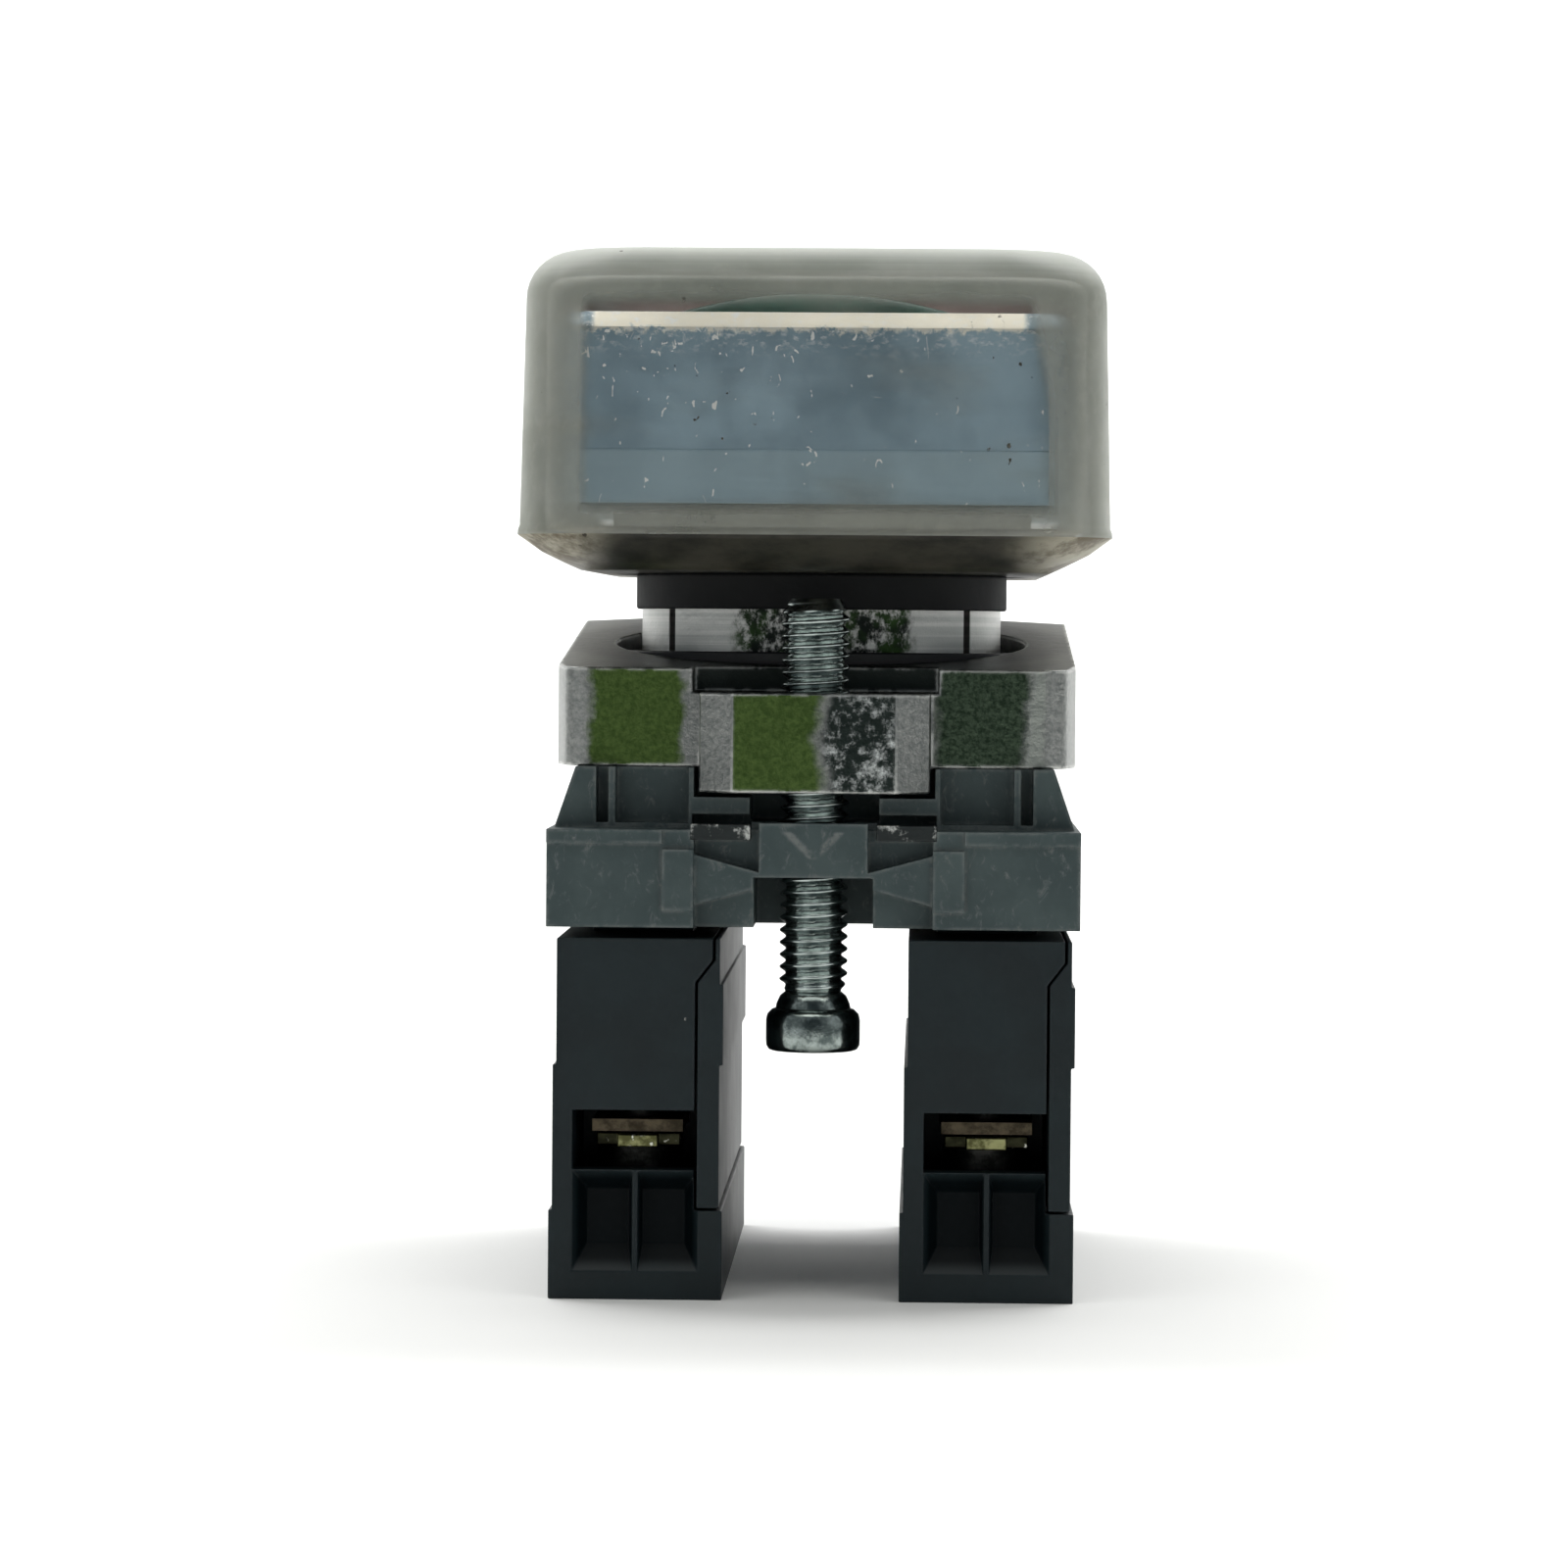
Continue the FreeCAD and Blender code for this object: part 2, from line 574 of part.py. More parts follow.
def cross_recess(body, z, y="0"):
    """Two crossed slots in a screw's head, cut upwards from the level given."""
    depth = (z, f"{z} + recess_depth")
    arm = "2 * recess_width"
    half = "recess_width / 2"
    middle = (f"{y} - {half}", f"{y} + {half}")
    box(body, "Subtractive", both_sides(arm), middle, depth)
    box(body, "Subtractive", both_sides(half), (f"{y} - {arm}", f"{y} + {arm}"), depth)


def build_boot():
    body = new_body("boot")
    wide = both_sides("boot_half_width")
    long = both_sides("boot_half_length")
    corners = [(wide[0], long[0]), (wide[1], long[0]), (wide[1], long[1]), (wide[0], long[1])]
    outer = pad(body, "XY_Plane", ("boot_bottom", "boot_top"), corners)
    outer.setExpression("TaperAngle", bound("-boot_taper"))
    dress(body, "Fillet", upright, Radius="boot_corner")
    dress(body, "Fillet", level_at("boot_top"), Radius="boot_edge")
    skirt = dress(body, "Chamfer", level_at("boot_bottom"), Size="boot_skirt")
    skirt.ChamferType = "Two distances"
    skirt.setExpression("Size2", bound("boot_skirt_width"))
    rounded_slab(body, "Additive", "boot_half_width + boot_lip_stand",
                 "boot_half_length + boot_lip_stand", "boot_corner + boot_lip_stand",
                 ("boot_lip_level", "boot_lip_level + boot_lip"))
    rounded_slab(body, "Subtractive", "bezel_width / 2 + boot_clearance",
                 "bezel_length / 2 + boot_clearance", "bezel_corner + boot_clearance",
                 ("gasket_bottom", "boot_inside_top"))
    cylinder(body, "Subtractive", "barrel_radius + boot_neck_gap",
             ("boot_bottom - overrun", "gasket_bottom + overrun"))


def build_bezel():
    body = new_body("bezel")
    step = "bezel_bottom + bezel_step_height"
    box(body, "Additive", both_sides("bezel_width / 2 - bezel_step"),
        both_sides("bezel_length / 2 - bezel_step"), ("bezel_bottom", "bezel_top"))
    dress(body, "Fillet", upright, Radius="bezel_corner - bezel_step")
    dress(body, "Chamfer", level_at("bezel_top"), Size="bezel_bevel")
    rounded_slab(body, "Additive", "bezel_width / 2", "bezel_length / 2", "bezel_corner",
                 ("bezel_bottom", step))
    box(body, "Subtractive", both_sides("bezel_width / 2 - bezel_wall"),
        both_sides("bezel_length / 2 - bezel_wall"), ("bezel_floor_top", "bezel_top"))
    cylinder(body, "Subtractive", "barrel_radius", ("bezel_bottom", "bezel_floor_top"))


def build_separator():
    body = new_body("button_separator")
    half_width = "bezel_width / 2 - bezel_wall"
    box(body, "Additive", both_sides(half_width), both_sides("separator_width / 2"),
        ("flange_top", "bezel_top + separator_rise"))
    dress(body, "Fillet", level_at("bezel_top + separator_rise"), Radius="button_edge")


def build_button(name, sign):
    """A hollow cap whose crown is an arc across the head."""
    body = new_body(name)
    half = "button_half_width"
    shoulder = "button_crown - button_drop"
    corners = [(negative(half), "button_bottom"), (half, "button_bottom"),
               (half, shoulder), (negative(half), shoulder)]
    pad(body, "XZ_Plane", towards(sign, "button_near", "button_far"), corners, {2: "button_dome"})
    dress(body, "Fillet", lambda edge: edge.BoundBox.ZMax > value(shoulder) - TOUCH
          and edge.BoundBox.ZMin > value(shoulder) - TOUCH, Radius="button_edge")
    box(body, "Subtractive", both_sides(f"{half} - button_wall"),
        towards(sign, "button_near + button_wall", "button_far - button_wall"),
        ("button_bottom", "button_hollow_top"))


def build_pusher(name, sign):
    """A plate inside the button, a leg beside the bar and half of a round foot."""
    body = new_body(name)
    foot_top = "flange_top - stop_gap"
    cylinder(body, "Additive", "pusher_radius", ("pusher_foot", foot_top))
    side = towards(sign, "-pusher_radius - overrun", "pusher_split / 2")
    box(body, "Subtractive", side, both_sides("pusher_radius + overrun"), ("pusher_foot", foot_top))
    near = "separator_width / 2 + stop_gap"
    half = "button_half_width - button_wall"
    leg = towards(sign, near, "pusher_leg")
    leg_side = towards(sign, "pusher_split / 2", "pusher_leg")
    box(body, "Additive", leg_side, leg, (f"{foot_top} - pusher_plate", "plate_bottom"))
    box(body, "Additive", both_sides(half),
        towards(sign, "button_near + button_wall", "button_far - button_wall"),
        ("plate_bottom", "plate_top"))


def build_barrel():
    body = new_body("barrel")
    bottom = "carrier_top + barrel_lift"
    cylinder(body, "Additive", "barrel_radius", (bottom, "flange_top"))
    cylinder(body, "Additive", "flange_radius", ("bezel_floor_top", "flange_top"))
    cylinder(body, "Subtractive", "bore_radius", (bottom, "flange_top"))
    for turn in (1, -1):
        for end in (0, 180):
            slot = box(body, "Subtractive", both_sides("barrel_slot / 2"),
                       ("bore_radius - overrun", "barrel_radius + overrun"),
                       ("ring_bottom", "sleeve_bottom"))
            turn_about_barrel(slot, f"{turn} * barrel_slot_angle + {end}",
                              "-barrel_slot / 2", "bore_radius - overrun")


def turn_about_barrel(feature, angle, x, y):
    """Turn a feature at (x, y) round the barrel's axis."""
    feature.setExpression("Placement.Rotation.Angle", bound(angle))
    feature.setExpression("Placement.Base.x", bound(f"({x}) * cos({angle}) - ({y}) * sin({angle})"))
    feature.setExpression("Placement.Base.y", bound(f"({x}) * sin({angle}) + ({y}) * cos({angle})"))


def build_panel_seat():
    ring(new_body("panel_sleeve"), "sleeve_radius", "barrel_radius",
         ("sleeve_bottom", "boot_bottom"))
    ring(new_body("bezel_gasket"), "gasket_radius", "barrel_radius",
         ("gasket_bottom", "bezel_bottom"))


def build_collar():
    body = new_body("clamp_collar")
    half = "collar_width / 2"
    front = negative("collar_front")
    face = f"{half} - collar_taper"
    flare = f"{front} + collar_flare"
    rear_corner = "collar_back - collar_chamfer"
    plan = [(f"collar_taper - {half}", front), (face, front), (half, flare), (half, rear_corner),
            (f"{half} - 2 * collar_chamfer", "collar_back"),
            (f"2 * collar_chamfer - {half}", "collar_back"), (negative(half), rear_corner),
            (negative(half), flare)]
    wall_top = "collar_top + collar_rise"
    pad(body, "XY_Plane", ("carrier_top", wall_top), plan)
    front_edges = all_of(upright, lambda edge: edge.CenterOfMass.y < value(front) + TOUCH)
    dress(body, "Fillet", front_edges, Radius="collar_corner")
    front_rim = "collar_corner - collar_front"
    slope = [(f"{front} - overrun", "collar_top"), (front_rim, "collar_top"),
             ("collar_back", wall_top), ("collar_back", f"{wall_top} + overrun"),
             (f"{front} - overrun", f"{wall_top} + overrun")]
    pocket(body, "YZ_Plane", (f"-{half} - overrun", f"{half} + overrun"), slope)
    gap_back = "-ring_outer - overrun"
    box(body, "Subtractive", both_sides("lobe_width / 2 + lobe_flank / 4"),
        (f"{front} - overrun", gap_back), ("lobe_top", f"{wall_top} + overrun"))
    build_screw_lobe(body)
    cylinder(body, "Subtractive", "barrel_radius + barrel_fit", ("carrier_top", wall_top))
    cylinder(body, "Subtractive", "ring_outer + ring_fit", ("ring_bottom - ring_fit", wall_top))
    box(body, "Subtractive", both_sides("lever_window / 2"), ("ring_inner", "collar_back + overrun"),
        ("ring_bottom - ring_fit", "ring_bottom + ring_height + ring_fit"))
    cylinder(body, "Subtractive", "clamp_thread_radius + thread_fit",
             ("lobe_bottom", "collar_top"), "0", "-clamp_axis")


def build_screw_lobe(body):
    """The lower lobe at the collar's near side, which carries the clamp screw."""
    face = "lobe_face / 2"
    half = "lobe_width / 2"
    front = negative("lobe_reach")
    flank = "lobe_flank - lobe_reach"
    back = "-channel_back"
    plan = [(negative(face), front), (face, front), (half, flank), (half, back),
            (negative(half), back), (negative(half), flank)]
    pad(body, "XY_Plane", ("lobe_bottom", "lobe_top"), plan)


def build_locking_ring():
    body = new_body("locking_ring")
    span = ("ring_bottom", "ring_bottom + ring_height")
    cylinder(body, "Additive", "ring_outer", span)
    box(body, "Additive", both_sides("lever_width / 2"), ("ring_inner", "lever_reach"), span)
    cylinder(body, "Subtractive", "ring_inner", span)
    shift(body, turn="-lever_swing / 2")


def build_clamp_screw():
    body = new_body("clamp_screw")
    axis = "-clamp_axis"
    cylinder(body, "Additive", "clamp_head_radius", ("clamp_head_level", "clamp_head_top"), "0", axis)
    dress(body, "Chamfer", lambda edge: len(edge.Vertexes) == 1, Size="clamp_head_chamfer")
    cylinder(body, "Additive", "clamp_thread_radius", ("clamp_head_top", "clamp_tip"), "0", axis)
    dress(body, "Chamfer", level_at("clamp_tip"), Size="clamp_tip_chamfer")
    cross_recess(body, "clamp_head_level", axis)


def build_carrier():
    foot = both_sides("tier_width / 2")
    top = both_sides("tier_top_width / 2")
    tier = [(foot[0], "carrier_step"), (foot[1], "carrier_step"),
            (top[1], "carrier_top"), (top[0], "carrier_top")]
    added = [
        loose_box(both_sides("carrier_width / 2"), both_sides("carrier_length / 2"),
                  ("carrier_bottom", "carrier_step")),
        loose_prism(both_sides("tier_length / 2"), tier),
    ]
    removed = [loose_box(both_sides("well_width / 2"), both_sides("well_length / 2"),
                         ("well_floor", "carrier_top + overrun"))]
    stem = "plunger_width / 2 + plunger_fit"
    for sign in (-1, 1):
        middle = f"{sign} * block_offset"
        removed.append(loose_box((f"{middle} - ({stem})", f"{middle} + {stem}"),
                                 both_sides("plunger_length / 2 + plunger_fit"),
                                 ("carrier_bottom - overrun", "well_floor + overrun")))
        carve_carrier_end(added, removed, sign)
    carved("block_carrier", added, removed)


def carve_carrier_end(added, removed, sign):
    """The screw channel and guide of one end, and its two corners."""
    face = "carrier_length / 2"
    deep = towards(sign, "channel_back", f"{face} + overrun")
    guide_bottom = "carrier_bottom + boss_bottom"
    guide_top = f"{guide_bottom} + boss_height"
    added.append(loose_box(both_sides("boss_width / 2"), towards(sign, "channel_back - overrun", face),
                           (guide_bottom, guide_top)))
    removed += [
        loose_box(both_sides("channel_width / 2"), deep, ("carrier_bottom - overrun", guide_bottom)),
        loose_box(both_sides("channel_width / 2 + stop_gap"), deep, (guide_top, "carrier_top + overrun")),
        loose_box(both_sides("lobe_width / 2 + stop_gap"), deep,
                  ("lobe_bottom - stop_gap", "carrier_top + overrun")),
        loose_cylinder("clamp_thread_radius + guide_clearance",
                       (f"{guide_bottom} - overrun", f"{guide_top} + overrun"),
                       "0", f"{sign} * clamp_axis"),
    ]
    for side in (-1, 1):
        carve_carrier_corner(added, removed, sign, side)


def carve_carrier_corner(added, removed, sign, side):
    """The arrow, ledge, pad, window and clip slot of one corner."""
    face = "carrier_length / 2"
    tier_face = "tier_length / 2"
    cut = towards(sign, f"{face} - arrow_depth", f"{face} + overrun")
    for up, edge in ((1, "carrier_step + overrun"), (-1, "carrier_bottom - overrun")):
        corners = [("boss_width / 2", f"arrow_middle + {up} * arrow_tip / 2"),
                   ("pad_inner", f"arrow_middle + {up} * arrow_foot / 2"),
                   ("pad_inner", edge), ("boss_width / 2", edge)]
        removed.append(loose_prism(cut, [(f"{side} * ({x})", z) for x, z in corners]))
    pad_foot = "carrier_bottom + pad_bottom"
    added += [
        loose_box(towards(side, "ledge_inner", "carrier_width / 2"),
                  towards(sign, f"{face} - overrun", f"{face} + ledge_stand"),
                  ("carrier_step - ledge_height", "carrier_step")),
        loose_box(towards(side, "pad_inner", "ledge_inner"),
                  towards(sign, f"{face} - overrun", f"{face} + pad_stand"),
                  (pad_foot, f"{pad_foot} + pad_height")),
    ]
    window = towards(sign, f"{tier_face} - window_depth", f"{tier_face} + overrun")
    window_height = ("carrier_step + window_bottom", "carrier_top + overrun")
    removed += [
        loose_box(towards(side, "window_inner", "window_rib"), window, window_height),
        loose_box(towards(side, "window_rib + rib_width", "window_outer"), window, window_height),
        loose_box(towards(side, "clip_slot_inner", "clip_slot_inner + clip_slot_width"),
                  towards(sign, f"{face} - clip_length - overrun", f"{face} + overrun"),
                  ("clip_slot_bottom", "clip_slot_bottom + clip_slot_height")),
    ]


def build_clip(name, side):
    """A steel strip that lies in its slot at the near end, with a lip bent up."""
    body = new_body(name)
    width = towards(side, "clip_slot_inner", "clip_slot_inner + clip_slot_width")
    back = "clip_length - carrier_length / 2"
    tip = "clip_thickness - carrier_length / 2"
    front = "-carrier_length / 2"
    box(body, "Additive", width, (front, back), ("clip_slot_bottom", "clip_slot_bottom + clip_thickness"))
    box(body, "Additive", width, (front, tip),
        ("clip_slot_bottom", "clip_slot_bottom + clip_thickness + clip_lip"))


def cover_profile(gap):
    """The side cover's outline, drawn in by a gap along its joint."""
    inner = f"cover_inside + {gap}"
    lip = f"block_width / 2 - cover_lip + {gap}"
    edge = "block_width / 2 - block_step"
    slope_top = "block_height - cover_shoulder + cover_slope"
    slope_foot = "block_height - cover_shoulder"
    return [(inner, f"foot_height + {gap}"), (edge, f"foot_height + {gap}"), (edge, "block_height"),
            (lip, "block_height"), (lip, slope_top), (inner, slope_foot)]


def build_housing(name, side):
    body = new_body(name)
    ends = both_sides("block_length / 2")
    levels = ["0", "foot_height", "waist_height", "block_height"]
    for step, (low, high) in enumerate(zip(levels, levels[1:])):
        box(body, "Additive", both_sides(f"block_width / 2 - {step} * block_step"), ends, (low, high))
    box(body, "Additive", both_sides("block_neck_width / 2"), both_sides("block_neck_length / 2"),
        ("block_height", "carrier_bottom"))
    inner, *rest = cover_profile("0")
    space = [inner] + [(x.replace("- block_step", "+ overrun"), z) for x, z in rest]
    pocket(body, "XZ_Plane", ends, space)
    hollow = ("block_wall - block_width / 2 + block_step", "cover_inside")
    box(body, "Subtractive", hollow, both_sides("mechanism_length / 2"), ("floor_wall", "roof_bottom"))
    box(body, "Subtractive", both_sides("plunger_width / 2 + plunger_fit"),
        both_sides("plunger_length / 2 + plunger_fit"), ("roof_bottom", "carrier_bottom"))
    for end in (-1, 1):
        carve_terminal(body, end)
    shift(body, f"{side} * block_offset")


def carve_terminal(body, end):
    """One end's terminal chamber, wire entry, driver hole, strip slot and funnels."""
    half_entry = "entry_width / 2"
    face = "block_length / 2"
    box(body, "Subtractive", (negative(half_entry), "cover_inside"),
        towards(end, "chamber_inner", "chamber_outer"),
        ("chamber_bottom", "entry_top + terminal_headroom"))
    box(body, "Subtractive", both_sides(half_entry), towards(end, "chamber_outer", f"{face} + overrun"),
        ("entry_bottom", "entry_top"))
    cylinder(body, "Subtractive", "driver_hole", ("-overrun", "chamber_bottom"),
             "0", f"{end} * terminal_place")
    box(body, "Subtractive", both_sides("strip_width / 2 + thread_fit"),
        towards(end, "mechanism_length / 2", "chamber_inner"),
        ("strip_level - thread_fit", "strip_top + thread_fit"))
    for side in (-1, 1):
        mouth = towards(side, "funnel_rib / 2", half_entry)
        throat = towards(side, "funnel_rib / 2 + funnel_inset / 4", f"{half_entry} - funnel_inset")
        mouth_z = ("funnel_bottom", "entry_bottom")
        throat_z = ("funnel_bottom + funnel_rise", "entry_bottom - funnel_drop")
        span = towards(end, f"{face} - funnel_depth", face)
        if end > 0:
            frustum(body, "Subtractive", span, throat, throat_z, mouth, mouth_z)
        else:
            frustum(body, "Subtractive", span, mouth, mouth_z, throat, throat_z)


def build_cover(name, side):
    body = new_body(name)
    ends = both_sides("block_length / 2")
    pad(body, "XZ_Plane", ends, cover_profile("cover_groove"))
    rib_top = "waist_height + cover_rib_height"
    edge = "block_width / 2 - block_step"
    box(body, "Additive", (f"{edge} - cover_rib", f"{edge} + block_step"), ends, ("waist_height", rib_top))
    shift(body, f"{side} * block_offset")


def build_plunger(name, side, bridge_level, foot_depth):
    body = new_body(name)
    stem = both_sides("plunger_width / 2")
    depth = both_sides("plunger_length / 2")
    bottom = f"({bridge_level}) - {foot_depth}"
    box(body, "Additive", stem, depth, (bottom, "stem_top"))
    box(body, "Additive", both_sides("stop_width / 2"), both_sides("stop_length / 2"),
        ("stop_top - stop_thickness", "stop_top"))
    cap = towards(-side, "block_offset - cap_outer", "block_offset - cap_inner")
    box(body, "Additive", cap, depth, ("stem_top", "plunger_top"))
    box(body, "Subtractive", both_sides("bridge_waist / 2"), depth,
        (bridge_level, f"({bridge_level}) + bridge_thickness"))
    shift(body, f"{side} * block_offset")


def build_bridge(name, side, bridge_level, rivet_low):
    """A contact bridge through the plunger, with a rivet under or over each end."""
    body = new_body(name)
    top = f"({bridge_level}) + bridge_thickness"
    span = (bridge_level, top)
    box(body, "Additive", both_sides("bridge_waist / 2"), both_sides("bridge_length / 2"), span)
    for end in (-1, 1):
        arm = towards(end, "plunger_length / 2 + stop_gap", "bridge_length / 2")
        box(body, "Additive", both_sides("bridge_width / 2"), arm, span)
        cylinder(body, "Additive", "rivet_radius", (rivet_low, f"({rivet_low}) + rivet_height"),
                 "0", f"{end} * rivet_place")
    shift(body, f"{side} * block_offset")


def build_strip(name, side, turn, rivet_low):
    """A fixed contact: rivet at the inner end, tapped terminal plate at the outer."""
    body = new_body(name)
    span = ("strip_level", "strip_top")
    box(body, "Additive", both_sides("strip_width / 2"),
        ("strip_inset - block_length / 2", "-strip_reach"), span)
    cylinder(body, "Additive", "rivet_radius", (rivet_low, f"({rivet_low}) + rivet_height"),
             "0", "-rivet_place")
    cylinder(body, "Subtractive", "terminal_thread_radius + thread_fit", span, "0", "-terminal_place")
    shift(body, f"{side} * block_offset", turn=turn)


def build_clamp_plate(name, side, turn):
    body = new_body(name)
    middle = "-terminal_place"
    span = ("clamp_bottom", "clamp_top")
    box(body, "Additive", both_sides("clamp_width / 2"),
        (f"{middle} - clamp_length / 2", f"{middle} + clamp_length / 2"), span)
    box(body, "Additive", both_sides("clamp_tongue / 2"),
        ("strip_inset - block_length / 2", middle), span)
    cylinder(body, "Subtractive", "terminal_thread_radius + thread_fit", span, "0", middle)
    shift(body, f"{side} * block_offset", turn=turn)


def build_terminal_screw(name, side, turn):
    body = new_body(name)
    axis = "-terminal_place"
    bottom = "clamp_bottom - terminal_head_height"
    cylinder(body, "Additive", "terminal_head_radius", (bottom, "clamp_bottom"), "0", axis)
    cylinder(body, "Additive", "terminal_thread_radius",
             ("clamp_bottom", "clamp_bottom + terminal_shank"), "0", axis)
    cross_recess(body, bottom, axis)
    shift(body, f"{side} * block_offset", turn=turn)


def build_block(word, side, bridge_level, foot_depth, fixed_rivet, moving_rivet):
    """One contact block; closed contacts sit under the strips, open ones over them."""
    build_housing(f"{word}_housing", side)
    build_cover(f"{word}_cover", side)
    build_plunger(f"{word}_plunger", side, bridge_level, foot_depth)
    build_bridge(f"{word}_contact_bridge", side, bridge_level, moving_rivet)
    coil(f"{word}_plunger_spring", "spring_radius", "spring_wire", "floor_wall",
         f"({bridge_level}) - {foot_depth}", PLUNGER_SPRING_TURNS, f"{side} * block_offset", "0")
    for end, turn in (("near", "0"), ("far", "180")):
        build_strip(f"{word}_{end}_contact", side, turn, fixed_rivet)
        build_clamp_plate(f"{word}_{end}_clamp_plate", side, turn)
        build_terminal_screw(f"{word}_{end}_terminal_screw", side, turn)


def build_head():
    build_boot()
    build_bezel()
    build_separator()
    build_barrel()
    build_panel_seat()
    for word, sign in (("green", -1), ("red", 1)):
        build_button(f"{word}_button", sign)
        build_pusher(f"{word}_pusher", sign)
        coil(f"{word}_spring", "button_spring_radius", "button_spring_wire", "bezel_floor_top",
             "plate_bottom", BUTTON_SPRING_TURNS, "0", f"{sign} * button_spring_place")


def build_mounting():
    build_collar()
    build_locking_ring()
    build_clamp_screw()
    build_carrier()
    build_clip("left_clip", -1)
    build_clip("right_clip", 1)


def check_and_export():
    doc.recompute()
    for item in doc.Objects:
        if "Invalid" in item.State or "Error" in item.State:
            raise RuntimeError(f"{item.Name} failed: {item.State}")
    os.makedirs("parts", exist_ok=True)
    for node in NODES:
        if node.Shape.isNull() or not node.Shape.isValid() or node.Shape.Volume <= 0:
            raise RuntimeError(f"{node.Label} has no valid shape")
    for node in NODES:
        node.Shape.exportStep(f"parts/{node.Label}.step")
        print(f"{node.Label}: {len(node.Shape.Solids)} solid, {node.Shape.Volume:.1f} mm3")


fill_sheet()
build_head()
build_mounting()
build_block("left", -1, "high_bridge", "left_foot", "strip_top", "high_bridge - rivet_height")
build_block("right", 1, "low_bridge", "right_foot", "strip_level - rivet_height",
            "low_bridge + bridge_thickness")
check_and_export()
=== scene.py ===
import json
import math

import bmesh
import bpy
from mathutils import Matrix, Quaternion, Vector, noise

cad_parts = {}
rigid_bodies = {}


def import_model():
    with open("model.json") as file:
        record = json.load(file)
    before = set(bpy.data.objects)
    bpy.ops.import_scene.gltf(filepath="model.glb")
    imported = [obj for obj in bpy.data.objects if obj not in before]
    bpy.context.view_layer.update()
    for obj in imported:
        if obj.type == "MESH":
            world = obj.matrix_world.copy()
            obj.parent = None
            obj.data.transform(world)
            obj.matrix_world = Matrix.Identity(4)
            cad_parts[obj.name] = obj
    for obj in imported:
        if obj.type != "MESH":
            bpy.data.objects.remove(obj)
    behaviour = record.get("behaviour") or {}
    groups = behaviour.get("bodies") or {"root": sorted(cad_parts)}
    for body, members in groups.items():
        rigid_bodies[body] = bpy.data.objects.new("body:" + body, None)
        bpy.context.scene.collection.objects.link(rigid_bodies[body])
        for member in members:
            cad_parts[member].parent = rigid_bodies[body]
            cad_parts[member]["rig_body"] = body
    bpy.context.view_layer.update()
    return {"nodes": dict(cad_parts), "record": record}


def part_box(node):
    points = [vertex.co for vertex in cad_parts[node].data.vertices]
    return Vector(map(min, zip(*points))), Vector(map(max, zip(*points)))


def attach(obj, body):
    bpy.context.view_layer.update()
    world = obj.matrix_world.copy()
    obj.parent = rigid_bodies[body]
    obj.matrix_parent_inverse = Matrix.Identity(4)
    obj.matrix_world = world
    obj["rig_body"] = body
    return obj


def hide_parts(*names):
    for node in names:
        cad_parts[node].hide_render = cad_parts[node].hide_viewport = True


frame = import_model()
NODES = frame["nodes"]
MM = 0.001
BEZEL_STEP_HEIGHT = 0.0030
SCREW_HEAD_HEIGHT = 0.0030
BEZEL_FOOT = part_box("bezel")[0].z
BEZEL_STEP = BEZEL_FOOT + BEZEL_STEP_HEIGHT
RIM_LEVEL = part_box("bezel")[1].z
SCREW_HEAD_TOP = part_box("clamp_screw")[0].z + SCREW_HEAD_HEIGHT
BLOCK_OFFSET = 0.010

# ---------------------------------------------------------------- node materials


